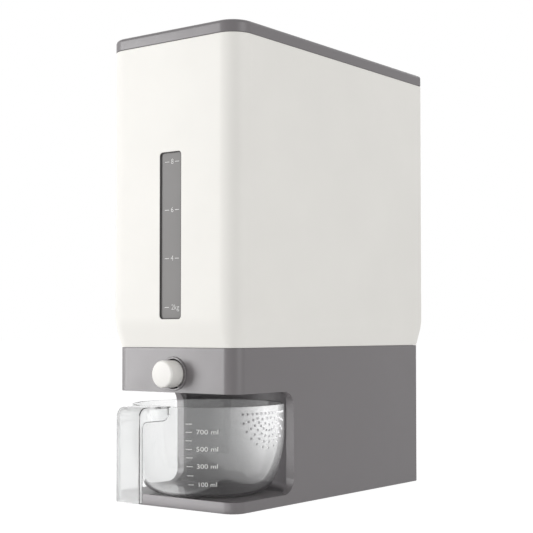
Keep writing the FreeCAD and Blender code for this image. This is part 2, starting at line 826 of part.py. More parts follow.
def arc_points(centre, r, start, end, flats):
    angles = [start + (end - start) * i / flats for i in range(flats + 1)]
    return [(centre[0] + r * math.cos(a), centre[1] + r * math.sin(a)) for a in angles]


def handle_side():
    """Side outline of the channel-shaped handle: an arm off the rim and a grip that hangs from it."""
    face_y = cup_y - cup_r - handle_reach
    top = cup_rim + handle_rise
    foot = bay_floor + grip_foot_gap
    r = handle_bend_r
    q = handle_inner_r
    bend = 1 - math.sqrt(0.5)
    inner_y = face_y + grip_flange
    arm_z = top - arm_flange
    wall_y = cup_y - cup_r + cup_wall
    p = [Vec(0, wall_y, top), Vec(0, face_y + r, top), Vec(0, face_y, top - r), Vec(0, face_y, foot),
         Vec(0, inner_y, foot), Vec(0, inner_y, arm_z - q), Vec(0, inner_y + q, arm_z),
         Vec(0, cup_y - cup_r - arm_haunch_reach, arm_z), Vec(0, wall_y, arm_z + arm_haunch)]
    outer_bend = Part.Arc(p[1], Vec(0, face_y + r * bend, top - r * bend), p[2]).toShape()
    inner_bend = Part.Arc(p[5], Vec(0, inner_y + q * bend, arm_z - q * bend), p[6]).toShape()
    lines = [Part.makeLine(p[0], p[1]), outer_bend, Part.makeLine(p[2], p[3]), Part.makeLine(p[3], p[4]),
             Part.makeLine(p[4], p[5]), inner_bend, Part.makeLine(p[6], p[7]), Part.makeLine(p[7], p[8]),
             Part.makeLine(p[8], p[0])]
    return Part.Face(Part.Wire(lines))


def handle_channel():
    """A skin along the outside of the handle and a flange down each edge, open towards the cup."""
    half = handle_width / 2
    face = handle_side()
    face.translate(Vec(-half, 0, 0))
    body = face.extrude(X_AXIS * handle_width)
    hollow = handle_side()
    hollow.translate(Vec(-half + handle_skin, handle_skin, -handle_skin))
    hollow = hollow.extrude(X_AXIS * (handle_width - 2 * handle_skin))
    cuts = [hollow]
    for step in (grip_flange / 2, arm_flange / 2):
        further = hollow.copy()
        further.translate(Vec(0, step, -step))
        cuts.append(further)
    face_y = cup_y - cup_r - handle_reach
    foot = bay_floor + grip_foot_gap
    toe = block(-half, half, face_y, face_y + grip_flange, foot, foot + handle_skin)
    return body.cut(fuse(*cuts)).fuse(toe)


def strainer_holes():
    """Half-round fan of drain holes beside the rim, on the side away from the thumb."""
    centre_z = cup_rim - strainer_drop
    places = [(0.0, 0.0)]
    for ring_no in range(1, strainer_rings + 1):
        r = ring_no * strainer_pitch
        count = 3 * ring_no + 1
        for i in range(count):
            a = math.pi * i / (count - 1)
            places.append((r * math.cos(a), -r * math.sin(a)))
    return Part.makeCompound([drain_hole(along, centre_z + up) for along, up in places])


def drain_hole(along, z):
    """Six-sided hole through the wall, at an arc length along the rim from the +X side."""
    reach = cup_wall + 12
    corners = []
    for i in range(7):
        a = math.pi * i / 3
        corners.append(Vec(cup_r - 10, strainer_hole / 2 * math.sin(a), strainer_hole / 2 * math.cos(a)))
    hole = Part.Face(Part.makePolygon(corners)).extrude(X_AXIS * reach)
    hole.rotate(Vec(0, 0, 0), Z_AXIS, math.degrees(along / cup_r))
    hole.translate(Vec(0, cup_y, z))
    return hole


def measuring_cup():
    outside = turned(cup_outline(0), cup_y)
    inside = turned(cup_outline(cup_wall), cup_y)
    arm = handle_channel().cut(inside)
    cup = fuse(outside.cut(inside), arm)
    return cup.cut(strainer_holes())


# ---------------------------------------------------------------- write the parts
def fixings():
    return {
        "plate_screws": screw_group(plate_fixing_points(), pad_height, plate_screw_length, True),
        "bin_screws": screw_group(bin_fixing_points(), ledge_z, bin_screw_length, True),
        "gate_screws": screw_group(gate_fixing_points(), cover_top, gate_screw_length, False),
    }


def all_parts():
    parts = {
        "lid_cover": lid_cover(),
        "lid_seal": lid_seal(),
        "bin_shell": bin_shell(),
        "level_window": level_window(),
        "hopper_floor": hopper_floor(),
        "gate_cover": gate_cover(),
        "gate_housing": gate_housing(),
        "gate_seal": gate_seal(),
        "gate_slide": gate_slide(),
        "button_cap": button_cap(),
        "return_spring_left": return_spring(-1),
        "return_spring_right": return_spring(1),
        "base_shell": base_shell(),
        "bay_liner": bay_liner(),
        "base_plate": base_plate(),
        "measuring_cup": measuring_cup(),
    }
    names = ("foot_front_left", "foot_front_right", "foot_rear_left", "foot_rear_right")
    for name, (x, y) in zip(names, foot_points()):
        parts[name] = rubber_foot(x, y)
    parts.update(fixings())
    return parts


for name, shape in all_parts().items():
    print(name, len(shape.Solids), "solids,", round(shape.Volume / 1000, 2), "cm3, valid", shape.isValid())
    shape.exportStep("parts/" + name + ".step")
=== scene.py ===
import bmesh
import bpy
import math
from mathutils import Matrix, Vector


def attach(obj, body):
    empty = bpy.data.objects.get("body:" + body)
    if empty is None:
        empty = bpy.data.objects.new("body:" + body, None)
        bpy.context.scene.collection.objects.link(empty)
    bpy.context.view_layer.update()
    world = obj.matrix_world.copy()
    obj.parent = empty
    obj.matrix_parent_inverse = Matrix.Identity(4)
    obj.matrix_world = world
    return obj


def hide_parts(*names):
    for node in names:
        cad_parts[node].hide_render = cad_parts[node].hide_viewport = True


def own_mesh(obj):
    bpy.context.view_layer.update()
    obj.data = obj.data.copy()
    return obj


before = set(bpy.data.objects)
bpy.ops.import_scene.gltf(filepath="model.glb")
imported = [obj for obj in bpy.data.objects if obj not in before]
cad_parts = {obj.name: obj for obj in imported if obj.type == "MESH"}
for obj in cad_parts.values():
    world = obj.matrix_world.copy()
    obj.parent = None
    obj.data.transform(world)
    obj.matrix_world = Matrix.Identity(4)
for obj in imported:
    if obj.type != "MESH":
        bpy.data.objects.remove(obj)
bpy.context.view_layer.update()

# ---------------------------------------------------------------- camera
# A long lens at the height of the base's top, turned to the left so that the front and the right
# side of the body both show.  It tilts up a little and the frame's lift does the rest, so that
# upright edges stay nearly upright.
camera_place = (0.7658, -1.0274, 0.1659)
camera_turn = 37.064
camera_lens = 83.055
sensor_width = 36.0
camera_tilt = 1.8
frame_lift = 0.0482

camera = bpy.data.objects.new("camera", bpy.data.cameras.new("camera"))
camera.data.lens = camera_lens
camera.data.sensor_width = sensor_width
camera.data.shift_y = frame_lift
camera.location = camera_place
camera.rotation_euler = (math.radians(90 + camera_tilt), 0, math.radians(camera_turn))
bpy.context.collection.objects.link(camera)
bpy.context.scene.camera = camera

# ---------------------------------------------------------------- studio
# White sweep with one broad lamp in front on the left, a weaker one on the right, and an even pale
# surrounding.  The floor is seen as white and still takes the object's soft shadow.
surround_light = 0.43
floor_half = 14.0
floor_card = 0.86
floor_glow = 0.90
floor_catch = 0.30
floor_bounce = 0.22
key_power = 35.5
key_size = (1.0, 1.4)
key_place = (-1.75, -1.72, 0.45)
fill_power = 10.3
fill_size = (1.2, 1.5)
fill_place = (2.2, -0.3, 0.8)

bpy.context.scene.view_settings.view_transform = "Standard"


def node_tree(holder):
    """Emptied node tree of a world or a material."""
    holder.use_nodes = True
    holder.node_tree.nodes.clear()
    return holder.node_tree


def add_node(tree, kind, inputs=None):
    """New node.  Each input that is named gets a value, or is wired to an output."""
    node = tree.nodes.new(kind)
    for name, value in (inputs or {}).items():
        if isinstance(value, bpy.types.NodeSocket):
            tree.links.new(value, node.inputs[name])
        else:
            node.inputs[name].default_value = value
    return node


def seen_directly(tree):
    """1 for rays from the camera and for those that glass or gloss sends on."""
    rays = add_node(tree, "ShaderNodeLightPath").outputs
    total = rays["Is Camera Ray"]
    for kind in ("Is Glossy Ray", "Is Transmission Ray"):
        either = add_node(tree, "ShaderNodeMath", {0: total, 1: rays[kind]})
        either.operation = "MAXIMUM"
        total = either.outputs[0]
    return total


def mixed(tree, kind, first, second, share=None):
    """Shader that adds two others, or changes from the first to the second."""
    inputs = {} if share is None else {0: share}
    start = len(inputs)
    return add_node(tree, kind, {**inputs, start: first.outputs[0], start + 1: second.outputs[0]})


world = bpy.data.worlds.new("studio")
bpy.context.scene.world = world
tree = node_tree(world)
soft = add_node(tree, "ShaderNodeBackground", {"Color": (1, 1, 1, 1), "Strength": surround_light})
white = add_node(tree, "ShaderNodeBackground", {"Color": (1, 1, 1, 1)})
choice = mixed(tree, "ShaderNodeMixShader", soft, white, seen_directly(tree))
add_node(tree, "ShaderNodeOutputWorld", {"Surface": choice.outputs[0]})

floor_mesh = bpy.data.meshes.new("floor")
corners = [(-1, -1), (1, -1), (1, 1), (-1, 1)]
floor_mesh.from_pydata([(x * floor_half, y * floor_half, 0) for x, y in corners], [], [(0, 1, 2, 3)])
floor = bpy.data.objects.new("floor", floor_mesh)
bpy.context.collection.objects.link(floor)
floor_paint = bpy.data.materials.new("white_sweep")
floor_paint.cycles.emission_sampling = "NONE"
tree = node_tree(floor_paint)
card = add_node(tree, "ShaderNodeBsdfDiffuse", {"Color": (floor_card,) * 3 + (1,)})
bounce = add_node(tree, "ShaderNodeEmission", {"Strength": floor_bounce})
catcher = add_node(tree, "ShaderNodeBsdfDiffuse", {"Color": (floor_catch,) * 3 + (1,)})
glow = add_node(tree, "ShaderNodeEmission", {"Strength": floor_glow})
lit = mixed(tree, "ShaderNodeAddShader", card, bounce)
shown = mixed(tree, "ShaderNodeAddShader", catcher, glow)
choice = mixed(tree, "ShaderNodeMixShader", lit, shown, seen_directly(tree))
add_node(tree, "ShaderNodeOutputMaterial", {"Surface": choice.outputs[0]})
floor.data.materials.append(floor_paint)
floor.visible_glossy = False


def soft_lamp(name, place, size, power, aim=(0.0, 0.0, 0.22)):
    """Soft lamp of a width and a height that points at the object."""
    lamp = bpy.data.objects.new(name, bpy.data.lights.new(name, "AREA"))
    lamp.data.shape = "RECTANGLE"
    lamp.data.size, lamp.data.size_y = size
    lamp.data.energy = power
    lamp.location = place
    lamp.rotation_euler = (Vector(aim) - Vector(place)).to_track_quat("-Z", "Y").to_euler()
    bpy.context.collection.objects.link(lamp)
    return lamp


key = soft_lamp("key_lamp", key_place, key_size, key_power)
fill = soft_lamp("fill_lamp", fill_place, fill_size, fill_power)

# ---------------------------------------------------------------- bin
# Tall bin moulded in one piece of warm white plastic, open at the top.  Its foot draws in to the
# size of the base, and a spigot under its floor flange plugs into the base and is screwed there.
# Sizes from here on are in millimetres, and those of lamps and finishes are in metres.
MM = 0.001
half_width = 81.25
half_depth = 165.0
front_corner = 21.3
rear_corner = 2.0
corner_steps = 16
least_corner = 0.4
body_top = 450.0
wall = 2.5
bin_foot = 150.0
bin_top = 438.0
base_inset = 6.8
shoulder = 173.0
shoulder_ease = 7.0
shoulder_steps = 8
foot_round = 0.4
foot_lip = 1.5
seam = 0.35
rim_round = 0.7
round_steps = 4
spigot_inset = 9.55
spigot_wall = 2.2
spigot_foot = 142.25
flange_top = 152.4
window_middle = 1.4
window_half = 13.35
window_low = 176.8
window_high = 334.0
window_corner = 3.5
window_edge = 0.45
panel_steps = 8
part_gap = 0.25
boss_r = 3.75
boss_x = 63.45
boss_rows = (-145.2, 154.0)
web_half = 1.0
web_reach = 70.95
pilot_r = 1.3
pilot_depth = 9.0
rod_sides = 16
sharp_edge = 30
overcut = 1.0
near = 0.1
front_near = 0.4
touching = 0.02
plastic_ior = 1.5
bin_colour = (246, 244, 239)
bin_roughness = 0.42


def plan_loop(side, rear, z):
    """One turn round the body's plan, drawn in by side at the sides and front and by rear behind."""
    x = half_width - side
    y0 = side - half_depth
    y1 = half_depth - rear
    big = max(front_corner - side, least_corner)
    small = max(rear_corner - rear, least_corner)
    turns = ((-x + big, y0 + big, big, 180), (x - big, y0 + big, big, 270),
             (x - small, y1 - small, small, 0), (-x + small, y1 - small, small, 90))
    return [Vector((px, py, z)) for cx, cy, r, start in turns
            for px, py in arc(cx, cy, r, start, start + 90, corner_steps)]


def arc(cx, cy, r, start, end, steps):
    """Points of an arc in a flat section, angles in degrees."""
    turn = [math.radians(start + (end - start) * i / steps) for i in range(steps + 1)]
    return [(cx + r * math.cos(a), cy + r * math.sin(a)) for a in turn]


def skin(loops, closed=False):
    """Closed mesh over loops of as many points each: capped at its ends, or joined end to end."""
    shape = bmesh.new()
    rows = [[shape.verts.new(p) for p in loop] for loop in loops]
    if closed:
        rows.append(rows[0])
    else:
        shape.faces.new(rows[0][::-1])
        shape.faces.new(rows[-1])
    for low, high in zip(rows, rows[1:]):
        for i, corner in enumerate(low):
            j = (i + 1) % len(low)
            shape.faces.new((corner, low[j], high[j], high[i]))
    bmesh.ops.recalc_face_normals(shape, faces=shape.faces)
    return shape


def as_piece(name, shape):
    """Object that holds a mesh still in millimetres."""
    mesh = bpy.data.meshes.new(name)
    shape.to_mesh(mesh)
    shape.free()
    piece = bpy.data.objects.new(name, mesh)
    bpy.context.collection.objects.link(piece)
    return piece


def prism(outline, axis, ends):
    """Straight body on a flat outline, between two ends along an axis (0, 1 or 2 for X, Y or Z)."""
    return skin([[Vector((*spot[:axis], end, *spot[axis:])) for spot in outline] for end in ends])


def box_shape(x0, x1, y0, y1, z0, z1):
    """Square block."""
    return prism([(x0, y0), (x1, y0), (x1, y1), (x0, y1)], 2, (z0, z1))


def settled_mesh(holder):
    """Plain mesh of an object with its modifiers done."""
    bpy.context.view_layer.update()
    done = holder.evaluated_get(bpy.context.evaluated_depsgraph_get())
    return bpy.data.meshes.new_from_object(done)


def carve(piece, shape, how="DIFFERENCE"):
    """Cuts a shape out of a piece, or joins it on."""
    tool = as_piece("tool", shape)
    step = piece.modifiers.new("carve", "BOOLEAN")
    step.operation = how
    step.solver = "EXACT"
    step.object = tool
    mesh = settled_mesh(piece)
    old = piece.data
    piece.modifiers.clear()
    piece.data = mesh
    bpy.data.meshes.remove(old)
    bpy.data.meshes.remove(tool.data)
    mesh.name = piece.name


def window_panel(grow, y0, y1):
    """Upright panel with round corners between two depths, larger than the window by grow all round."""
    x0 = window_middle - window_half - grow
    x1 = window_middle + window_half + grow
    z0 = window_low - grow
    z1 = window_high + grow
    r = window_corner + grow
    turns = ((x0 + r, z0 + r, 180), (x1 - r, z0 + r, 270), (x1 - r, z1 - r, 0), (x0 + r, z1 - r, 90))
    outline = [spot for cx, cz, start in turns for spot in arc(cx, cz, r, start, start + 90, panel_steps)]
    return prism(outline, 1, (y0, y1))


def round_edges(piece, radius, chosen, steps=3, clamp=True):
    """Rounds the sharp edges whose two ends are chosen."""
    shape = bmesh.new()
    shape.from_mesh(piece.data)
    bmesh.ops.remove_doubles(shape, verts=shape.verts, dist=0.001)
    edges = [e for e in shape.edges if len(e.link_faces) == 2
             and e.calc_face_angle() > math.radians(sharp_edge)
             and chosen(e.verts[0].co) and chosen(e.verts[1].co)]
    bmesh.ops.bevel(shape, geom=edges, offset=radius, offset_type="OFFSET", segments=steps,
                    profile=0.5, affect="EDGES", clamp_overlap=clamp)
    shape.to_mesh(piece.data)
    shape.free()


def place(piece, material, body, slot, *nodes, crease=32):
    """Brings a finished mesh to metres, shades it and hands it to the frame."""
    mesh = piece.data
    mesh.transform(Matrix.Scale(MM, 4))
    mesh.polygons.foreach_set("use_smooth", [True] * len(mesh.polygons))
    mesh.set_sharp_from_angle(angle=math.radians(crease))
    mesh.materials.clear()
    mesh.materials.append(material)
    level = piece.modifiers.new("flat faces stay flat", "WEIGHTED_NORMAL")
    level.keep_sharp = True
    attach(piece, body)
    if nodes:
        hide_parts(*nodes)


def tone(red, green, blue):
    """Linear colour of an 8-bit one."""
    shares = [c / 255 for c in (red, green, blue)]
    line = [s / 12.92 if s <= 0.04045 else ((s + 0.055) / 1.055) ** 2.4 for s in shares]
    return (*line, 1.0)


def shaded(colour, share):
    """Colour made darker or lighter by a share."""
    return tuple(min(c * share, 1) for c in colour[:3]) + (1,)


def noise(tree, where, scale, detail=3.0):
    """Cloudy values about a place on the piece."""
    cloud = add_node(tree, "ShaderNodeTexNoise", {"Vector": where, "Scale": scale, "Detail": detail})
    return cloud.outputs[0]


def tints(tree, low, high, cloud):
    """Colour that wanders between two tints."""
    step = add_node(tree, "ShaderNodeValToRGB", {0: cloud})
    for end, place_on, colour in zip(step.color_ramp.elements, (0.3, 0.7), (low, high)):
        end.position = place_on
        end.color = colour
    return step.outputs[0]


def spread(tree, low, high, source, start=0.0, end=1.0):
    """Value that goes from low to high as the source goes from start to end."""
    inputs = {"Value": source, "From Min": start, "From Max": end, "To Min": low, "To Max": high}
    return add_node(tree, "ShaderNodeMapRange", inputs).outputs[0]


def relief(tree, depth, strength, cloud):
    """Fine unevenness of a surface."""
    bump = add_node(tree, "ShaderNodeBump", {"Distance": depth, "Strength": strength, "Height": cloud})
    return bump.outputs[0]


def new_finish(name):
    """Material with an empty tree and the place on the piece, as (material, tree, place)."""
    finish = bpy.data.materials.new(name)
    tree = node_tree(finish)
    return finish, tree, add_node(tree, "ShaderNodeTexCoord").outputs["Object"]


def moulded_plastic(name, colour, roughness, grain=0.00002, drift=0.015, scale=1400.0, shine=0.2):
    """Satin moulding: fine spark-eroded grain, faint clouds of tint and of gloss."""
    finish, tree, where = new_finish(name)
    level = tone(*colour)
    tint = tints(tree, shaded(level, 1 - drift), shaded(level, 1 + drift), noise(tree, where, 11.0))
    shader = add_node(tree, "ShaderNodeBsdfPrincipled", {
        "Base Color": tint,
        "Roughness": spread(tree, roughness - 0.05, roughness + 0.05, noise(tree, where, 46.0)),
        "Normal": relief(tree, grain, 0.6, noise(tree, where, scale, 2.0)),
        "IOR": plastic_ior,
        "Specular IOR Level": shine,
    })
    add_node(tree, "ShaderNodeOutputMaterial", {"Surface": shader.outputs[0]})
    return finish


def shape_mesh(shape):
    """Loose mesh of a shape, which is used up."""
    mesh = bpy.data.meshes.new("loose")
    shape.to_mesh(mesh)
    shape.free()
    return mesh


def add_mesh(whole, mesh, move=Matrix.Identity(4)):
    """Adds a loose mesh to a shape after moving it, and throws the mesh away."""
    mesh.transform(move)
    whole.from_mesh(mesh)
    bpy.data.meshes.remove(mesh)


def spokes(sides):
    """Directions all round a circle."""
    return [(math.cos(2 * math.pi * i / sides), math.sin(2 * math.pi * i / sides)) for i in range(sides)]


def fixing_rods(points, r, z0, z1):
    """Like upright rods or screw holes at several places, as one shape."""
    whole = bmesh.new()
    for x, y in points:
        ring = [(x + r * c, y + r * s) for c, s in spokes(rod_sides)]
        add_mesh(whole, shape_mesh(prism(ring, 2, (z0, z1))))
    return whole


bin_white = moulded_plastic("bin_white", bin_colour, bin_roughness)
foot_slope = base_inset / (shoulder - bin_foot)
ease_low = shoulder - shoulder_ease
foot_low = bin_foot + seam
lip_top = bin_foot + foot_lip
foot_middle = foot_slope * (shoulder - lip_top) + foot_round
outer = arc(foot_middle, foot_low + foot_round, foot_round, 270, 180, round_steps)
outer += [(foot_middle - foot_round, lip_top), (foot_slope * (shoulder - ease_low), ease_low)]
for i in range(1, shoulder_steps + 1):
    t = i / shoulder_steps
    outer.append((foot_slope * shoulder_ease * (1 - t) ** 2, ease_low + 2 * shoulder_ease * t))
outer += [(rim_round - x, z) for x, z in arc(0, bin_top - rim_round, rim_round, 0, 90, round_steps)]
inner = [(wall - rim_round / 2, bin_top), (wall, bin_top - rim_round / 2), (wall, shoulder + shoulder_ease),
         (wall + foot_slope * (shoulder - flange_top), flange_top)]
section = [(s, s - foot_middle + foot_round, z) for s, z in outer[:round_steps + 1]]
section += [(s, 0, z) for s, z in outer[round_steps + 1:-round_steps - 1]]
section += [(s, s, z) for s, z in outer[-round_steps - 1:]]
section += [(s, min(s, wall), z) for s, z in inner]
for thick, z0, z1 in ((spigot_wall, flange_top, spigot_foot), (0.0, spigot_foot, foot_low)):
    section += [(spigot_inset + thick, wall + part_gap + thick, z) for z in (z0, z1)]
bin_body = as_piece("bin_body", skin([plan_loop(*row) for row in section], closed=True))
bin_fixings = [(side * boss_x, y) for side in (-1, 1) for y in boss_rows]
carve(bin_body, fixing_rods(bin_fixings, boss_r, spigot_foot, flange_top), "UNION")
for x, y in bin_fixings:
    ends = sorted((x, math.copysign(web_reach, x)))
    carve(bin_body, box_shape(*ends, y - web_half, y + web_half, spigot_foot, flange_top), "UNION")
carve(bin_body, fixing_rods(bin_fixings, pilot_r, spigot_foot - overcut, spigot_foot + pilot_depth))
carve(bin_body, window_panel(0.0, -half_depth - overcut, -half_depth + wall + overcut))


def on_window_edge(point):
    return (abs(point.x - window_middle) < window_half + near and point.y < front_near - half_depth
            and window_low - near < point.z < window_high + near)


round_edges(bin_body, window_edge, on_window_edge)
place(bin_body, bin_white, "housing", "bin_white", "bin_shell")

# ---------------------------------------------------------------- level window
# Pane of grey translucent plastic that clips into the bin's front from inside, with a printed
# scale in kilograms.
pane_gap = 0.1
pane_recess = 1.6
pane_back = 2.0
pane_lip = 4.0
lip_gap = 0.05
pane_edge = 0.3
border_gap = 0.05
border_wide = 0.9
border_sunk = 0.25
border_edge = 0.2
pane_colour = (132, 130, 129)
# Dark grey of the painted shade round the pane.
gap_shade_colour = (74, 72, 72)
mark_colour = (226, 226, 224)
mark_lift = 0.05
mark_depth = 0.04
mark_thin = 0.06
mark_middle = 2.5
unit_shift = 4.0
figure_size = 7.1
dash_height = 0.62
dash_spans = ((-6.6, -1.3), (5.9, 10.9))
level_marks = (("8", 324.6), ("6", 279.2), ("4", 233.7), ("2kg", 187.8))


def smoked_plastic(name, colour):
    """Grey smoked pane: a polished skin over a body that lets a little light in."""
    finish, tree, where = new_finish(name)
    level = tone(*colour)
    shader = add_node(tree, "ShaderNodeBsdfPrincipled", {
        "Base Color": tints(tree, shaded(level, 0.94), level, noise(tree, where, 7.0)),
        "Roughness": spread(tree, 0.16, 0.26, noise(tree, where, 60.0)),
        "Normal": relief(tree, 0.00004, 0.4, noise(tree, where, 90.0, 1.0)),
        "IOR": plastic_ior,
        "Specular IOR Level": 0.12,
    })
    add_node(tree, "ShaderNodeOutputMaterial", {"Surface": shader.outputs[0]})
    return finish


pane_y = -half_depth + pane_recess
wall_back = -half_depth + wall
pane = as_piece("level_pane", window_panel(-pane_gap, pane_y, wall_back + pane_back))
carve(pane, window_panel(pane_lip, wall_back + lip_gap, wall_back + pane_back), "UNION")
round_edges(pane, pane_edge, lambda p: p.y < pane_y + touching, 2)
place(pane, smoked_plastic("window_grey", pane_colour), "housing", "window_grey", "level_window")
# A thin dark strip round the pane's edge is painted shade: it fills the shadow gap between the pane and the
# bin's wall.
border_y = -half_depth + border_sunk
gap_shade_strip = as_piece("pane_border", window_panel(-border_gap, border_y, pane_y))
carve(gap_shade_strip, window_panel(-border_wide, border_y - overcut, pane_y + overcut))
round_edges(gap_shade_strip, border_edge, lambda p: p.y < border_y + touching, 2)
place(gap_shade_strip, moulded_plastic("border_grey", gap_shade_colour, 0.5), "housing", "window_grey")


def printed_ink(name, colour):
    """Screen-printed ink: slightly uneven in cover and gloss."""
    return moulded_plastic(name, colour, 0.5, 0.00001, 0.03, 3000.0)


def lettering(text, size, depth, thin=0.0, wide=1.0):
    """Flat mesh of a few figures or letters, its middle at the origin, in millimetres."""
    curve = bpy.data.curves.new("figures", "FONT")
    curve.body = text
    curve.size = size
    curve.offset = -thin
    curve.extrude = depth / 2
    curve.resolution_u = 4
    curve.align_x = "CENTER"
    curve.align_y = "CENTER"
    holder = bpy.data.objects.new("figures", curve)
    bpy.context.collection.objects.link(holder)
    mesh = settled_mesh(holder)
    mesh.transform(Matrix.Diagonal((wide, 1.0, 1.0, 1.0)))
    bpy.data.objects.remove(holder)
    bpy.data.curves.remove(curve)
    return mesh


marks = bmesh.new()
upright = Matrix.Rotation(math.radians(90), 4, "X")
mark_y = pane_y - mark_lift
for text, z in level_marks:
    unit = "kg" in text
    spot = Vector((mark_middle + (unit_shift if unit else 0.0), mark_y, z))
    add_mesh(marks, lettering(text, figure_size, mark_depth, mark_thin), Matrix.Translation(spot) @ upright)
    for x0, x1 in dash_spans[:1] if unit else dash_spans:
        dash = box_shape(x0, x1, mark_y - mark_depth / 2, mark_y + mark_depth / 2,
                         z - dash_height / 2, z + dash_height / 2)
        add_mesh(marks, shape_mesh(dash))
bmesh.ops.remove_doubles(marks, verts=marks.verts, dist=0.0005)
window_marks = as_piece("window_marks", marks)
place(window_marks, printed_ink("mark_ink", mark_colour), "housing", "window_grey")

# ---------------------------------------------------------------- lid
# Flat grey lid with a rounded top edge, moulded in one piece with a plug and ribs under it.  The
# plug carries a soft seal and drops into the bin's mouth, and the lid lifts straight off.
lid_foot = 438.25
lid_round = 3.6
lid_round_steps = 8
lid_foot_round = 0.35
lid_skin = 447.6
plug_inset = 3.1
plug_wall = 2.0
plug_foot = 425.6
groove_depth = 1.0
groove_low = 431.0
groove_high = 434.0
rib_half = 0.8
rib_foot = 440.6
rib_top = lid_skin + 0.5
rib_shares = (-0.5, 0.0, 0.5)
seal_slack = 0.25
seal_proud = 0.15
bead_proud = 0.3
bead_valley = 0.05
bead_rise = 0.8
grey_colour = (110, 106, 108)
grey_roughness = 0.36
seal_colour = (206, 205, 200)

base_grey = moulded_plastic("base_grey", grey_colour, grey_roughness, 0.00003, shine=0.7)
section = [(wall, lid_foot), (lid_foot_round, lid_foot), (0.0, lid_foot + lid_foot_round)]
section += [(lid_round - x, z) for x, z in arc(0, body_top - lid_round, lid_round, 0, 90, lid_round_steps)]
plug_in = plug_inset + plug_wall
groove_in = plug_inset + groove_depth
under = [(plug_in, lid_skin), (plug_in, plug_foot), (plug_inset, plug_foot), (plug_inset, groove_low),
         (groove_in, groove_low), (groove_in, groove_high), (plug_inset, groove_high),
         (plug_inset, lid_skin), (wall, lid_skin)]
lid = as_piece("lid_top", skin([plan_loop(s, s, z) for s, z in under + section]))
rib_reach_x = half_width - plug_inset - plug_wall / 2
rib_reach_y = half_depth - plug_inset - plug_wall / 2
carve(lid, box_shape(-rib_half, rib_half, -rib_reach_y, rib_reach_y, rib_foot, rib_top), "UNION")
for share in rib_shares:
    y = share * rib_reach_y
    carve(lid, box_shape(-rib_reach_x, rib_reach_x, y - rib_half, y + rib_half, rib_foot, rib_top), "UNION")
place(lid, base_grey, "lid", "base_grey", "lid_cover")

seal_low = groove_low + seal_slack
seal_high = groove_high - seal_slack
seal_face = plug_inset - seal_proud
bead = plug_inset - bead_proud
seal_section = [(seal_face, seal_low), (groove_in, seal_low), (groove_in, seal_high), (seal_face, seal_high),
                (bead, groove_high - bead_rise), (plug_inset - bead_valley, (groove_low + groove_high) / 2),
                (bead, groove_low + bead_rise)]
lid_ring = as_piece("lid_ring", skin([plan_loop(s, s, z) for s, z in seal_section], closed=True))
silicone = moulded_plastic("silicone", seal_colour, 0.6, 0.00002, 0.03, 900.0)
place(lid_ring, silicone, "lid", "silicone", "lid_seal")

# ---------------------------------------------------------------- base
# Grey base moulded in one piece: four walls, and a bay that is open to the front and to both
# sides, with a flat floor and ceiling.  A raised ring stands round the button's hole.
base_top = 150.0
base_wall = 2.5
foot_edge = (0.8, 0.25)
top_edge = 0.15
bay_floor = 10.4
bay_ceiling = 108.0
bay_corner = 15.0
bay_skin = 2.4
bay_mouth = 20.0
bay_steps = 12
strip_y = -68.49
cup_axis_y = -106.85
niche_r = 75.95
niche_round = 5.0
niche_near = 0.05
niche_steps = 6
niche_sides = 128
beyond = 200.0
button_z = 125.6
collar_r = 16.1
collar_bore = 14.1
collar_front = -159.4
collar_depth = 5.7
collar_edge = 0.2
collar_round = (0.5, 0.6)
collar_sides = 64
hole_grow = 0.5
hole_depth = 8.0
chute_half = 24.45
chute_front = -115.3
chute_rear = -98.4
bay_edge = 2.0
ceiling_edge = 1.4
strip_edge = 0.8
ledge_half = 10.5
ledge_low = 139.5
ledge_top = 142.0
ledge_bite = 1.0
ledge_hole_r = 1.7
ledge_hole = (138.0, 143.0)
plate_rows = ((57.95, -139.7), (68.7, 122.5))
plate_boss = (4.6, 9.0)
plate_pilot = (3.0, 7.5)
gate_boss_x = 42.3
gate_boss_rows = (-125.45, -70.35)
gate_boss = (109.4, 115.4)
gate_pilot = (111.6, 118.0)
# name, place, size, power and aim of the lamps that light the base alone
base_lamps = (
    ("sheen_card", (-2.0, -1.3, -0.1), (2.6, 1.1), 11.5, (0.0, -0.16, -0.1)),
    ("table_light", (0.0, -0.187, 0.001), (0.15, 0.04), 0.035, (0.0, -0.187, 1.0)),
)
rear_place = (-0.3, 2.4, 0.8)
rear_size = (1.2, 1.5)
rear_power = 14.0


def bay_block(grow):
    """Room of the bay seen from the side, with two round rear corners, across the whole width."""
    y0 = -half_depth - bay_mouth
    y1 = strip_y + grow
    z0 = bay_floor - grow
    z1 = bay_ceiling + grow
    r = bay_corner + grow
    turns = arc(y1 - r, z0 + r, r, -90, 0, bay_steps) + arc(y1 - r, z1 - r, r, 0, 90, bay_steps)
    return prism([(y0, z0)] + turns + [(y0, z1)], 0, (-beyond, beyond))


def turned(profile, sides, closed=False):
    """Solid of revolution about the upright axis from (radius, height) points."""
    shape = bmesh.new()
    ways = spokes(sides)
    rows = []
    for r, z in profile:
        rows.append([shape.verts.new((r * c, r * s, z)) for c, s in (ways if r > 0.001 else ways[:1])])
    if closed:
        rows.append(rows[0])
    for low, high in zip(rows, rows[1:]):
        for i in range(sides):
            j = (i + 1) % sides
            ring = [low[i % len(low)], low[j % len(low)], high[j % len(high)], high[i % len(high)]]
            shape.faces.new(list(dict.fromkeys(ring)))
    bmesh.ops.recalc_face_normals(shape, faces=shape.faces)
    return shape


def moved(shape, y, z=0.0):
    """Moves a shape to the rear and up."""
    bmesh.ops.translate(shape, verts=shape.verts, vec=(0, y, z))
    return shape


def niche_shape(grow=0.0, z0=bay_floor, z1=bay_ceiling, edge=niche_round):
    """Drum that scoops the rounded rear wall of the bay."""
    r = niche_r + grow
    low = arc(r - edge, z0 + edge, edge, -90, 0, niche_steps)
    high = arc(r - edge, z1 - edge, edge, 0, 90, niche_steps)
    return moved(turned([(0, z0)] + low + high + [(0, z1)], niche_sides), cup_axis_y)


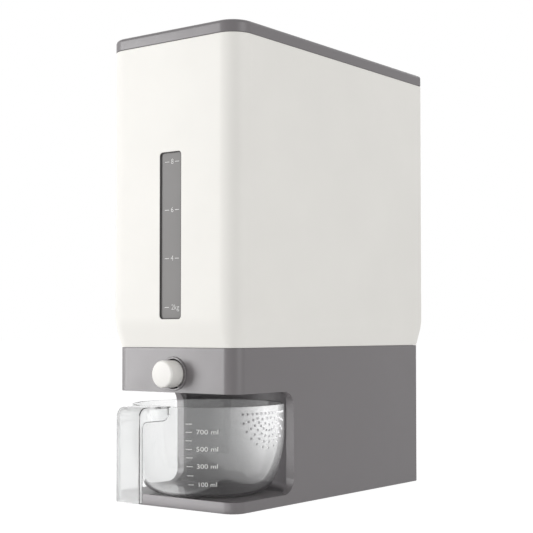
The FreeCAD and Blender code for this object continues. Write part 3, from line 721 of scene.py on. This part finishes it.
def along_y(shape, y, z):
    """Turns an upright shape to lie along +Y from the given y, at the given z."""
    quarter = Matrix.Rotation(math.radians(-90), 3, "X")
    bmesh.ops.rotate(shape, verts=shape.verts, cent=(0, 0, 0), matrix=quarter)
    return moved(shape, y, z)


def shape_of(piece):
    """Takes a helper piece apart into the shape that it holds."""
    shape = bmesh.new()
    shape.from_mesh(piece.data)
    bpy.data.meshes.remove(piece.data)
    return shape


edge_reach, edge_middle = foot_edge
base_section = [(edge_reach, 0.0), (edge_middle, edge_middle), (0.0, edge_reach),
                (0.0, base_top - top_edge), (top_edge, base_top)]
base = as_piece("base_body", skin([plan_loop(base_inset + s, s, z) for s, z in base_section]))
cavity_ends = (-2.0, base_top + 2.0)
cavity = as_piece("cavity", skin([plan_loop(base_inset + base_wall, base_wall, z) for z in cavity_ends]))
carve(cavity, bay_block(bay_skin))
deck_rear = strip_y + bay_skin
carve(cavity, box_shape(-beyond, beyond, -beyond, deck_rear, bay_floor - bay_skin, bay_floor))
carve(cavity, box_shape(-beyond, beyond, -beyond, deck_rear, bay_ceiling, bay_ceiling + bay_skin))
carve(base, shape_of(cavity))
carve(base, bay_block(0.0))
carve(base, niche_shape())


def plan_depth(point):
    """How far inside the base's outer walls a point stands."""
    x = half_width - base_inset - abs(point.x)
    y = point.y + half_depth - base_inset
    r = front_corner - base_inset
    if x < r and y < r:
        return r - math.hypot(r - x, r - y)
    return min(x, y, half_depth - point.y)


def on_bay_edge(point):
    in_height = bay_floor - near < point.z < bay_ceiling + near
    return plan_depth(point) < touching and point.y < strip_y + near and in_height


def on_ceiling_edge(point):
    straight = point.y < strip_y - bay_corner + near
    return on_bay_edge(point) and point.z > bay_ceiling - near and straight


def on_strip_edge(point):
    around = math.hypot(point.x, point.y - cup_axis_y)
    return abs(point.y - strip_y) < touching and abs(around - niche_r) < niche_near


round_edges(base, ceiling_edge, on_ceiling_edge, 3)
round_edges(base, bay_edge, on_bay_edge, 4)
round_edges(base, strip_edge, on_strip_edge, 3)
nose_in, nose_up = collar_round
collar = [(collar_bore + collar_edge, 0.0), (collar_bore, collar_edge), (collar_bore, collar_depth),
          (collar_r, collar_depth), (collar_r, nose_up), (collar_r - collar_edge, collar_edge),
          (collar_r - nose_in, 0.0)]
hole_at = collar_bore + hole_grow
hole = [(0, -overcut), (hole_at, -overcut), (hole_at, hole_depth), (0, hole_depth)]
carve(base, along_y(turned(hole, collar_sides), collar_front, button_z))
carve(base, along_y(turned(collar, collar_sides, closed=True), collar_front, button_z), "UNION")
carve(base, box_shape(-chute_half, chute_half, chute_front, chute_rear, bay_ceiling - overcut,
                      bay_ceiling + bay_skin + overcut))
ledge_plan = (base_inset + base_wall - ledge_bite, base_wall - ledge_bite)
ledges = as_piece("ledges", skin([plan_loop(*ledge_plan, z) for z in (ledge_low, ledge_top)]))
shelf = bmesh.new()
for x, y in bin_fixings:
    block = box_shape(x - ledge_half, x + ledge_half, y - ledge_half, y + ledge_half, bin_foot - 20, bin_foot)
    add_mesh(shelf, shape_mesh(block))
carve(ledges, shelf, "INTERSECT")
carve(base, shape_of(ledges), "UNION")
plate_fixings = [(side * x, y) for x, y in plate_rows for side in (-1, 1)]
gate_fixings = [(side * gate_boss_x, y) for side in (-1, 1) for y in gate_boss_rows]
carve(base, fixing_rods(plate_fixings, boss_r, *plate_boss), "UNION")
carve(base, fixing_rods(gate_fixings, boss_r, *gate_boss), "UNION")
carve(base, fixing_rods(plate_fixings, pilot_r, *plate_pilot))
carve(base, fixing_rods(gate_fixings, pilot_r, *gate_pilot))
carve(base, fixing_rods(bin_fixings, ledge_hole_r, *ledge_hole))
place(base, base_grey, "housing", "base_grey", "base_shell")


def light_only(lamp, name, pieces, shade=True):
    """Makes a lamp light only some pieces, and if shade is set take no shadow but theirs."""
    lamp.visible_transmission = False
    group = bpy.data.collections.new(name)
    for piece in pieces:
        group.objects.link(piece)
    lamp.light_linking.receiver_collection = group
    if shade:
        lamp.light_linking.blocker_collection = group


# Two lamps light nothing but the base: a low card on the left for its sheen, and one on the table
# for the light that comes up from it.
for name, where, size, power, aim in base_lamps:
    light_only(soft_lamp(name, where, size, power, aim), "only_base", [base])

# A soft lamp behind lights the rear of the bin, the lid and the base, and nothing else.
rear_lamp = soft_lamp("rear_lamp", rear_place, rear_size, rear_power)
light_only(rear_lamp, "body_pieces", [bin_body, lid, base], shade=False)

# ---------------------------------------------------------------- bay liner
# Separate grey moulding behind the base's flat frame: the rounded rear wall of the bay, closed
# above and below, with a flange that is held against the back of the frame.
liner_gap = 0.25
liner_round = 2.0
liner_flange = 71.7
liner_thick = 2.2
liner_foot = 5.0
# The liner's own grey, made a little darker than the base's as painted shade for the deep bay.
liner_shaded_colour = (98, 95, 97)
bay_light_place = (-0.36, -0.272, 0.06)
bay_light_size = (0.2, 0.1)
bay_light_power = 0.7
bay_light_aim = (0.0, -0.1, 0.055)

liner_front = strip_y + bay_skin + liner_gap
liner_top = bay_ceiling + bay_skin
liner = as_piece("bay_liner_wall", niche_shape(bay_skin, bay_floor - bay_skin, liner_top, liner_round))
flange = box_shape(-liner_flange, liner_flange, liner_front, liner_front + liner_thick, liner_foot, liner_top)
carve(liner, flange, "UNION")
carve(liner, box_shape(-beyond, beyond, -300, liner_front, -50, 300))
carve(liner, niche_shape())
place(liner, moulded_plastic("liner_grey", liner_shaded_colour, 0.45), "housing", "base_grey", "bay_liner")

# A lamp on the left lights nothing but the liner, through the bay's open side.
bay_light = soft_lamp("bay_light", bay_light_place, bay_light_size, bay_light_power, bay_light_aim)
light_only(bay_light, "only_liner", [liner])

# ---------------------------------------------------------------- button
# Hollow white cap with a soft nose.  A socket inside it grips the boss on the gate's stem, and
# its skirt slides in the base's ring.
button_r = 12.8
button_length = 25.5
button_front = -175.2
button_nose = 2.0
button_crown = 0.2
button_face = ((0.0, 0.0), (3.5, 0.02), (6.8, 0.08))
nose_steps = 10
button_wall = 2.0
button_neck = 16.1
neck_step = 0.9
root_edge = 1.0
socket_r = 6.6
socket_bore = 5.0
socket_end = 22.2
socket_seat = 2.6
slot_half = 8.3
slot_front = -152.95
slot_rear = -149.0
slot_drop = 20.0
button_sides = 96
button_colour = (243, 241, 237)

nose = arc(button_r - button_nose, button_crown + button_nose, button_nose, -90, 0, nose_steps)
skirt_r = button_r - neck_step
skirt_in = button_r - button_wall
profile = [*button_face, *nose]
profile += [
    (button_r, button_neck), (skirt_r, button_neck + neck_step / 2), (skirt_r, button_length),
    (skirt_in, button_length), (skirt_in, button_wall + root_edge), (skirt_in - root_edge, button_wall),
    (socket_r, button_wall), (socket_r, socket_end), (socket_bore, socket_end), (socket_bore, socket_seat),
    (0.0, socket_seat)]
button = as_piece("button", along_y(turned(profile, button_sides), button_front, button_z))
carve(button, box_shape(-slot_half, slot_half, slot_front, slot_rear, button_z - slot_drop, button_z))
button_white = moulded_plastic("button_white", button_colour, 0.36, shine=0.5)
place(button, button_white, "gate", "button_white", "button_cap")

# ---------------------------------------------------------------- measuring cup
# Clear cup moulded in one piece: a bowl with an upright rim, a hook-shaped handle of channel
# section and a half-round fan of drain holes.  Its scale is printed on the outside.
cup_r = 73.55
cup_foot = 10.7
cup_rim = 96.0
cup_wall = 2.0
cup_straight = 26.5
cup_side_r = 117.0
cup_foot_r = 21.0
cup_steps = 10
lip_steps = 8
cup_sides = 144
handle_half = 14.2
handle_face = -219.9
handle_top = 97.0
handle_foot = 11.9
handle_skin = 2.2
grip_flange = 4.8
arm_flange = 13.5
handle_bend = 8.0
handle_inner = 5.0
handle_edge = 0.7
bend_steps = 8
haunch = 7.0
haunch_reach = 7.0
haunch_end = -12
root_fillet = 5.0
root_steps = 6
root_bite = 1.0
root_back = 2.0
root_far = 2.5
root_drop = 1.5
root_rise = 0.4
foot_clearness = 0.99
cup_clearness = 0.97
haze_low = 0.022
haze_high = 0.036
grip_clearness = 0.6
frost_from = -0.212
frost_to = -0.190
cup_absorption = 44.0
cup_body = 0.5
cup_shadow = 0.93
cup_tints = ((246, 247, 247), (252, 252, 252))
# Dark tint of the handle's rounded edges: painted shade.
handle_shade_tint = (44, 44, 46)


side_x = cup_r - cup_side_r
side_z = cup_rim - cup_straight
foot_z = cup_foot + cup_foot_r
foot_x = side_x + math.sqrt((cup_side_r - cup_foot_r) ** 2 - (foot_z - side_z) ** 2)
join = math.degrees(math.atan2(foot_z - side_z, foot_x - side_x))


def cup_side(inset, top):
    """Half section of the bowl from the rim down to the axis, as (radius, height) points."""
    side = arc(side_x, side_z, cup_side_r - inset, 0, join, cup_steps)
    foot = arc(foot_x, foot_z, cup_foot_r - inset, join, -90, cup_steps)
    return [(cup_r - inset, top), *side, *foot[1:], (0, cup_foot + inset)]


def bowl_shape():
    """Bowl with a rounded lip and no handle."""
    mid = cup_wall / 2
    lip = arc(cup_r - mid, cup_rim - mid, mid, 180, 0, lip_steps)
    inside = cup_side(cup_wall, cup_rim - mid)[::-1]
    outside = cup_side(0.0, cup_rim - mid)
    return moved(turned(inside[:-1] + lip + outside[1:], cup_sides), cup_axis_y)


def handle_side(dy, dz, half):
    """Side outline of the handle, moved by dy and dz and given a width."""
    wall_y = cup_axis_y - cup_r + cup_wall
    inner_y = handle_face + grip_flange
    arm_z = handle_top - arm_flange
    b = handle_bend
    q = handle_inner
    outline = [(wall_y, handle_top)] + arc(handle_face + b, handle_top - b, b, 90, 180, bend_steps)
    outline += [(handle_face, handle_foot), (inner_y, handle_foot)]
    outline += arc(inner_y + q, arm_z - q, q, 180, 90, bend_steps)
    haunch_y = cup_axis_y - cup_r - haunch_reach
    outline += arc(haunch_y, arm_z + haunch, haunch, -90, haunch_end, bend_steps)
    outline += [(wall_y, arm_z + haunch)]
    return prism([(y + dy, z + dz) for y, z in outline], 0, (-half, half))


def root_fillet_shape(side):
    """Hollow corner where a flange of the arm runs into the bowl, as an upright prism."""
    x = handle_half + root_fillet
    y = -math.sqrt((cup_r + root_fillet) ** 2 - x ** 2)
    end = math.degrees(math.atan2(-y, -x))
    plan = arc(x, y, root_fillet, 180, end, root_steps)
    plan += [(handle_half + root_back, y + root_fillet + root_far),
             (handle_half - root_bite, y + root_fillet + root_back), (handle_half - root_bite, y)]
    low = handle_top - arm_flange + haunch - root_drop
    return prism([(side * px, cup_axis_y + py) for px, py in plan], 2, (low, cup_rim + root_rise))


clear_cup = as_piece("clear_cup", bowl_shape())
handle = as_piece("handle", handle_side(0, 0, handle_half))
inner_half = handle_half - handle_skin
for step in (0.0, grip_flange / 2, arm_flange / 2):
    carve(handle, handle_side(handle_skin + step, -handle_skin - step, inner_half))
toe_rear = handle_face + grip_flange
toe_top = handle_foot + handle_skin
carve(handle, box_shape(-handle_half, handle_half, handle_face, toe_rear, handle_foot, toe_top), "UNION")
handle_from = cup_axis_y - cup_r - 1.0
round_edges(handle, handle_edge, lambda p: p.y < handle_from, 2, clamp=False)
for side in (-1, 1):
    carve(handle, root_fillet_shape(side), "UNION")
room_top = cup_rim + 5.0
room = [(0, cup_foot + cup_wall)] + cup_side(cup_wall, room_top)[::-1][1:] + [(0, room_top)]
carve(handle, moved(turned(room, cup_sides), cup_axis_y))
carve(clear_cup, shape_of(handle), "UNION")

# The fan of drain holes: one tree sets a rod on each point of the fan and turns it to face out of
# the wall; the rods are then cut out of the bowl.
fan_pitch = 5.35
fan_steps = (3, 6, 12, 12, 12, 12)
fan_drop = 6.9
hole_r = 1.25
hole_sides = 12
rod_length = 14.0
rod_segments = 14
fan_z = cup_rim - fan_drop


def new_tree(name, sizes):
    """Geometry tree with named sizes, as (tree, its inputs, value for each socket identifier)."""
    tree = bpy.data.node_groups.new(name, "GeometryNodeTree")
    for way in ("INPUT", "OUTPUT"):
        tree.interface.new_socket("Geometry", in_out=way, socket_type="NodeSocketGeometry")
    settings = {}
    for label, value in sizes.items():
        kind = "NodeSocketFloat" if isinstance(value, float) else "NodeSocketObject"
        made = tree.interface.new_socket(label, in_out="INPUT", socket_type=kind)
        settings[made.identifier] = value
    return tree, add_node(tree, "NodeGroupInput").outputs, settings


def set_out(tree, into, made, material, **how):
    """Ends a tree: what was made is set on every point, made real and given its material."""
    inputs = {"Points": into["Geometry"], "Instance": made, **how}
    each = add_node(tree, "GeometryNodeInstanceOnPoints", inputs)
    real = add_node(tree, "GeometryNodeRealizeInstances", {0: each.outputs[0]})
    paint = add_node(tree, "GeometryNodeSetMaterial", {0: real.outputs[0], "Material": material})
    add_node(tree, "NodeGroupOutput", {0: paint.outputs[0]})


def grown(name, carrier, tree, settings):
    """Plain mesh that a tree makes from a carrier mesh."""
    holder = bpy.data.objects.new(name, carrier)
    bpy.context.collection.objects.link(holder)
    step = holder.modifiers.new("grow", "NODES")
    step.node_group = tree
    for identifier, value in settings.items():
        step[identifier] = value
    mesh = settled_mesh(holder)
    holder.modifiers.clear()
    holder.data = mesh
    bpy.data.meshes.remove(carrier)
    return holder


def points_mesh(name, points, facing=None):
    """Carrier of loose points, with a facing direction for each."""
    mesh = bpy.data.meshes.new(name)
    mesh.from_pydata(points, [], [])
    if facing:
        attribute = mesh.attributes.new("facing", "FLOAT_VECTOR", "POINT")
        attribute.data.foreach_set("vector", [c for way in facing for c in way])
    return mesh


def clear_plastic(name, dark, pale):
    """Clear styrene: nearly colourless, polished, with the faint ripple of a moulding.
    Lamps shine through it."""
    finish, tree, where = new_finish(name)
    spot = add_node(tree, "ShaderNodeSeparateXYZ", {0: where}).outputs
    bowl = spread(tree, foot_clearness, cup_clearness, spot["Z"], haze_low, haze_high)
    shader = add_node(tree, "ShaderNodeBsdfPrincipled", {
        "Base Color": tints(tree, tone(*dark), tone(*pale), noise(tree, where, 20.0)),
        "Roughness": spread(tree, 0.015, 0.06, noise(tree, where, 35.0)),
        "Normal": relief(tree, 0.00008, 0.5, noise(tree, where, 30.0, 1.0)),
        "Transmission Weight": spread(tree, grip_clearness, bowl, spot["Y"], frost_from, frost_to),
        "IOR": plastic_ior,
    })
    through = add_node(tree, "ShaderNodeBsdfTransparent", {"Color": (cup_shadow,) * 3 + (1,)})
    in_shadow = add_node(tree, "ShaderNodeLightPath").outputs["Is Shadow Ray"]
    choice = mixed(tree, "ShaderNodeMixShader", shader, through, in_shadow)
    body = add_node(tree, "ShaderNodeVolumeAbsorption", {
        "Color": (cup_body,) * 3 + (1,),
        "Density": cup_absorption,
    })
    add_node(tree, "ShaderNodeOutputMaterial", {"Surface": choice.outputs[0], "Volume": body.outputs[0]})
    return finish


cup_clear = clear_plastic("cup_clear", *cup_tints)
spots = [(0.0, 0.0)]
for ring_no, steps in enumerate(fan_steps, 1):
    spots += arc(0, 0, ring_no * fan_pitch, 0, -180, steps)
ways = [Vector((math.cos(along / cup_r), math.sin(along / cup_r), 0)) for along, up in spots]
middle = cup_r - cup_wall / 2
points = [way * middle + Vector((0, cup_axis_y, fan_z + up)) for way, (along, up) in zip(ways, spots)]
tree, into, settings = new_tree("drain_fan", {"Hole radius": hole_r, "Rod length": rod_length})
rod = add_node(tree, "GeometryNodeMeshCylinder", {
    "Vertices": hole_sides,
    "Side Segments": rod_segments,
    "Radius": into["Hole radius"],
    "Depth": into["Rod length"],
})
facing = add_node(tree, "GeometryNodeInputNamedAttribute", {"Name": "facing"})
facing.data_type = "FLOAT_VECTOR"
turn_to = add_node(tree, "FunctionNodeAlignEulerToVector", {"Vector": facing.outputs["Attribute"]})
turn_to.axis = "Z"
set_out(tree, into, rod.outputs["Mesh"], cup_clear, Rotation=turn_to.outputs[0])
rods = grown("drain_rods", points_mesh("drain_points", points, ways), tree, settings)
carve(clear_cup, shape_of(rods))
place(clear_cup, cup_clear, "cup", "cup_clear", "measuring_cup", crease=40)


# The bowl's faces take their exact directions, so that the wall shows no facets.
wall_near = 0.08
square_on = 0.9


def bowl_direction(r, z):
    """Direction across the wall in the half section, and the distance to the nearer of its faces."""
    if z >= side_z:
        way, far = (1.0, 0.0), cup_r - r
    elif (foot_z - side_z) * (r - side_x) < (z - side_z) * (foot_x - side_x):
        reach = math.hypot(r - side_x, z - side_z)
        way, far = ((r - side_x) / reach, (z - side_z) / reach), cup_side_r - reach
    elif r > foot_x:
        reach = math.hypot(r - foot_x, z - foot_z)
        way, far = ((r - foot_x) / reach, (z - foot_z) / reach), cup_foot_r - reach
    else:
        way, far = (0.0, -1.0), z - cup_foot
    return *way, min(abs(far), abs(far - cup_wall))


def bowl_normal(point, facing):
    """Exact direction out of the bowl's wall at a point in metres, on the side that faces that way."""
    x = point.x / MM
    y = point.y / MM - cup_axis_y
    r = math.hypot(x, y)
    out_r, out_z, gap = bowl_direction(r, point.z / MM)
    if r < touching or gap > wall_near:
        return None
    way = Vector((x / r * out_r, y / r * out_r, out_z))
    side = way.dot(facing)
    if abs(side) < square_on:
        return None
    return way if side > 0 else -way


levelled = settled_mesh(clear_cup)
turned_to = [corner.vector.copy() for corner in levelled.corner_normals]
cup_mesh = clear_cup.data
for face in cup_mesh.polygons:
    if bowl_normal(face.center, face.normal) is None:
        continue
    for loop_no in face.loop_indices:
        point = cup_mesh.vertices[cup_mesh.loops[loop_no].vertex_index].co
        exact = bowl_normal(point, face.normal)
        if exact is not None:
            turned_to[loop_no] = exact
clear_cup.modifiers.clear()
cup_mesh.normals_split_custom_set(turned_to)
bpy.data.meshes.remove(levelled)

# Two finishes more: the outer part of the drain holes' walls, matt as the mould's pins leave it and tinted
# grey as painted shade, and the rounded edges of the handle, which turn the light away, tinted dark as
# painted shade.
# Grey of the drain holes' outer walls: matt pin marks, tinted grey as painted shade for the holes' dark
# outlines.
pin_colour_and_shade = (132, 131, 133)
shade_facing_range = (0.15, 0.985)
pin_marks = moulded_plastic("pin_marks", pin_colour_and_shade, 0.6)
cup_edge = clear_plastic("cup_edge", handle_shade_tint, handle_shade_tint)
cup_mesh.materials.append(pin_marks)
cup_mesh.materials.append(cup_edge)
fan_low = fan_z - len(fan_steps) * fan_pitch - hole_r - 0.5
fan_left = 20.0
fan_top = cup_rim - 1.5
hole_square = 0.5
edge_from = cup_axis_y - cup_r - 2.0
for face in cup_mesh.polygons:
    spot = face.center / MM
    around = math.hypot(spot.x, spot.y - cup_axis_y)
    across = (spot.x * face.normal.x + (spot.y - cup_axis_y) * face.normal.y) / around
    in_fan = spot.x > fan_left and fan_low < spot.z < fan_top
    if in_fan and abs(across) < hole_square and around > cup_r - cup_wall / 2:
        face.material_index = 1
    # Faces of the handle's edges that turn partly to the right, and the flange's rear and under faces, get
    # the painted shade.
    on_handle = spot.y < edge_from
    on_flange = on_handle and spot.x > handle_half - handle_skin
    if on_handle and shade_facing_range[0] < face.normal.x < shade_facing_range[1] and face.normal.y > -square_on:
        face.material_index = 2
    if on_flange and (face.normal.y > square_on or face.normal.z < -square_on):
        face.material_index = 2

# A small lamp beside the bay lights nothing but the cup, and gives the near wall its soft haze.
haze_place = (0.150, -0.100, 0.090)
haze_size = (0.05, 0.05)
haze_aim = (0.0, -0.107, 0.078)
haze_spread = 90
haze_power = 0.27
haze = soft_lamp("haze_lamp", haze_place, haze_size, haze_power, haze_aim)
haze.data.spread = math.radians(haze_spread)
haze.visible_glossy = False
light_only(haze, "only_cup", [clear_cup])

# The key and the fill leave no sharp mirror images in the cup: a copy of the key without gloss
# lights it instead.
cup_key = soft_lamp("cup_key", key_place, key_size, key_power)
cup_key.visible_glossy = False
light_only(cup_key, "cup_alone", [clear_cup], shade=False)
all_but_cup = bpy.data.collections.new("all_but_cup")
all_but_cup.objects.link(clear_cup)
all_but_cup.collection_objects[0].light_linking.link_state = "EXCLUDE"
key.light_linking.receiver_collection = all_but_cup
fill.light_linking.receiver_collection = all_but_cup

# The cup's printed scale follows the bowl's curve.
tick_turns = (23.2, 28.0)
figure_turn = 38.9
tick_height = 0.6
tick_cuts = 6
print_depth = 0.04
cup_figure_size = 6.2
figure_thin = -0.02
figure_width = 1.22
cup_ink_colour = (240, 240, 238)
cup_marks = ((800, 80.9), (700, 73.5), (600, 65.7), (500, 57.9),
             (400, 50.1), (300, 41.9), (200, 33.3), (100, 24.7))


def bowl_radius(z):
    """Outer radius of the bowl at a height."""
    side = cup_side(0.0, cup_rim)
    for (r1, z1), (r2, z2) in zip(side, side[1:]):
        if z2 <= z <= z1:
            return r1 + (r2 - r1) * (z1 - z) / max(z1 - z2, 1e-6)
    return cup_r


def wrap(shape, start_turn, height):
    """Bends a flat shape (x across, y up, z out of the surface) on to the bowl."""
    for v in shape.verts:
        z = height + v.co.y
        r = bowl_radius(z) + print_depth + v.co.z
        a = math.radians(start_turn) + v.co.x / cup_r
        v.co = (r * math.sin(a), cup_axis_y - r * math.cos(a), z)


scale_print = bmesh.new()
tick_step = math.radians(tick_turns[1] - tick_turns[0]) * cup_r / tick_cuts
for amount, z in cup_marks:
    flat = bmesh.new()
    for i in range(tick_cuts):
        x = tick_step * i
        part = box_shape(x, x + tick_step, -tick_height / 2, tick_height / 2, 0.0, print_depth)
        add_mesh(flat, shape_mesh(part))
    bmesh.ops.remove_doubles(flat, verts=flat.verts, dist=0.0005)
    inner_faces = [f for f in flat.faces if all(not e.is_manifold for e in f.edges)]
    bmesh.ops.delete(flat, geom=inner_faces, context="FACES_ONLY")
    wrap(flat, tick_turns[0], z)
    add_mesh(scale_print, shape_mesh(flat))
    if amount % 200:
        figures = lettering(f"{amount} ml", cup_figure_size, print_depth, figure_thin, figure_width)
        flat = bmesh.new()
        add_mesh(flat, figures, Matrix.Translation((0, 0, print_depth / 2)))
        wrap(flat, figure_turn, z)
        add_mesh(scale_print, shape_mesh(flat))
cup_scale = as_piece("cup_scale", scale_print)
place(cup_scale, printed_ink("cup_ink", cup_ink_colour), "cup", "cup_clear")

# ---------------------------------------------------------------- hopper and gate
# Inner mouldings, kept as the frame gives them: the sloping floor that leads the grain to one
# slot, the tray and cover that guide the gate, and the gate plate with its stem.
inner_colour = (232, 230, 225)
gate_colour = (226, 226, 222)
housing_colour = (78, 76, 77)


def finish_node(name, material):
    """Gives a carried-over node its finish."""
    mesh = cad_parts[name].data
    mesh.materials.clear()
    mesh.materials.append(material)


inner_white = moulded_plastic("inner_white", inner_colour, 0.5)
finish_node("hopper_floor", inner_white)
finish_node("gate_cover", inner_white)
finish_node("gate_housing", moulded_plastic("housing_grey", housing_colour, 0.5))
finish_node("gate_slide", moulded_plastic("gate_white", gate_colour, 0.4, 0.00001, 0.02, 2200.0))
finish_node("gate_seal", silicone)

# ---------------------------------------------------------------- return springs
# Two compression springs wound from drawn steel wire.  They lie behind the gate's ears, and push
# the gate and the button back.
coil_r = 2.3
wire_r = 0.4
spring_x = 31.5
spring_z = 115.85
spring_back = -65.15
spring_length = 30.0
spring_turns = 9.0
spring_steps = 20
wire_sides = 10
spring_colour = (196, 196, 192)


def drawn_steel(name, colour, roughness):
    """Bright metal with fine draw lines and a little tarnish."""
    finish, tree, where = new_finish(name)
    level = tone(*colour)
    shader = add_node(tree, "ShaderNodeBsdfPrincipled", {
        "Base Color": tints(tree, shaded(level, 0.8), level, noise(tree, where, 260.0)),
        "Roughness": spread(tree, roughness - 0.08, roughness + 0.12, noise(tree, where, 700.0)),
        "Metallic": 1.0,
    })
    add_node(tree, "ShaderNodeOutputMaterial", {"Surface": shader.outputs[0]})
    return finish


spring_steel = drawn_steel("spring_steel", spring_colour, 0.3)
tree, into, settings = new_tree("return_spring", {
    "Turns": spring_turns,
    "Coil radius": coil_r,
    "Wire radius": wire_r,
    "Length": spring_length - 2 * wire_r,
})
coil = add_node(tree, "GeometryNodeCurveSpiral", {
    "Resolution": spring_steps,
    "Rotations": into["Turns"],
    "Start Radius": into["Coil radius"],
    "End Radius": into["Coil radius"],
    "Height": into["Length"],
})
bead = add_node(tree, "GeometryNodeCurvePrimitiveCircle", {
    "Resolution": wire_sides,
    "Radius": into["Wire radius"],
})
wire = add_node(tree, "GeometryNodeCurveToMesh", {
    "Curve": coil.outputs[0],
    "Profile Curve": bead.outputs[0],
    "Fill Caps": True,
})
set_out(tree, into, wire.outputs[0], spring_steel, Rotation=(math.radians(90), 0, 0))
starts = [(side * spring_x, spring_back - wire_r, spring_z) for side in (-1, 1)]
springs = grown("return_springs", points_mesh("spring_points", starts), tree, settings)
place(springs, spring_steel, "housing", "spring_steel", "return_spring_left", "return_spring_right",
      crease=60)
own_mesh(springs)

# ---------------------------------------------------------------- base plate
# Flat grey plate of the base's own plastic.  It closes the underside, and four screws hold it to
# posts in the base.
finish_node("base_plate", base_grey)

# ---------------------------------------------------------------- feet
# Four push-in pads moulded in dark rubber: a disc with a soft edge, a neck through the base plate
# and a bulb above it that holds the pad in.
pad_r = 8.0
pad_edge = 0.5
pad_top = 2.2
pad_neck = (2.5, 4.65)
pad_bulb = ((3.3, 5.0), (3.1, 6.3), (2.0, 7.0))
pad_sides = 32
foot_places = [(-55.95, -125.7), (55.95, -125.7), (-55.95, 146.5), (55.95, 146.5)]
rubber_colour = (52, 52, 54)


def copies_of(name, master, material, places, turn=(0.0, 0.0, 0.0)):
    """One mesh with a copy of the master at each place."""
    tree, into, settings = new_tree(name + "_tree", {"Master": master, "Size": 1.0})
    source = add_node(tree, "GeometryNodeObjectInfo", {"Object": into["Master"]})
    set_out(tree, into, source.outputs["Geometry"], material, Rotation=turn, Scale=into["Size"])
    made = grown(name, points_mesh(name + "_points", places), tree, settings)
    bpy.data.meshes.remove(master.data)
    return made


foot_rubber = moulded_plastic("foot_rubber", rubber_colour, 0.75, 0.00004, 0.08, 700.0)
pad_profile = [(0, 0.0), (pad_r - pad_edge, 0.0), (pad_r, pad_edge), (pad_r, pad_top),
               (pad_neck[0], pad_top), pad_neck, *pad_bulb, (0, pad_bulb[-1][1])]
pad_master = as_piece("pad_master", turned(pad_profile, pad_sides))
feet = copies_of("rubber_feet", pad_master, foot_rubber, [(x, y, 0) for x, y in foot_places])
place(feet, foot_rubber, "housing", "foot_rubber", "foot_front_left", "foot_front_right", "foot_rear_left",
      "foot_rear_right")

# ---------------------------------------------------------------- screws
# Zinc-plated pan-head screws with a cross recess: four hold the base plate, four the bin and four
# the gate.
head_r = 2.8
head_height = 1.7
head_round = 1.2
shank_r = 1.25
thread_depth = 0.3
thread_pitch = 1.1
thread_start = 0.6
thread_end = 1.5
tip = 1.2
recess_half = 0.35
recess_reach = 1.5
recess_depth = 1.0
screw_sides = 20
screw_colour = (188, 189, 190)
# name, node, length, height of the seat, way that the point looks, places
screw_groups = (
    ("plate_screw_set", "plate_screws", 5.3, 2.2, "up", plate_fixings),
    ("bin_screw_set", "bin_screws", 11.0, 139.5, "up", bin_fixings),
    ("gate_screw_set", "gate_screws", 9.0, 121.1, "down", gate_fixings),
)


def screw_shape(length):
    """Screw that points up from the plane z = 0, its head below it."""
    profile = [(0, -head_height)] + arc(head_r - head_round, head_round - head_height, head_round, -90, 0, 4)
    profile += [(head_r, 0.0), (shank_r, 0.0)]
    z = thread_start
    while z < length - thread_end:
        profile += [(shank_r, z), (shank_r - thread_depth, z + thread_pitch / 2)]
        z += thread_pitch
    profile += [(shank_r, length - tip), (0, length)]
    piece = as_piece("screw_master", turned(profile, screw_sides))
    for x, y in ((recess_half, recess_reach), (recess_reach, recess_half)):
        carve(piece, box_shape(-x, x, -y, y, -head_height - 1, -head_height + recess_depth))
    return piece


screw_steel = drawn_steel("screw_steel", screw_colour, 0.35)
for name, node, length, seat, way, places in screw_groups:
    turn = (math.pi if way == "down" else 0.0, 0.0, 0.0)
    screws = copies_of(name, screw_shape(length), screw_steel, [(x, y, seat) for x, y in places], turn)
    place(screws, screw_steel, "housing", "screw_steel", node)
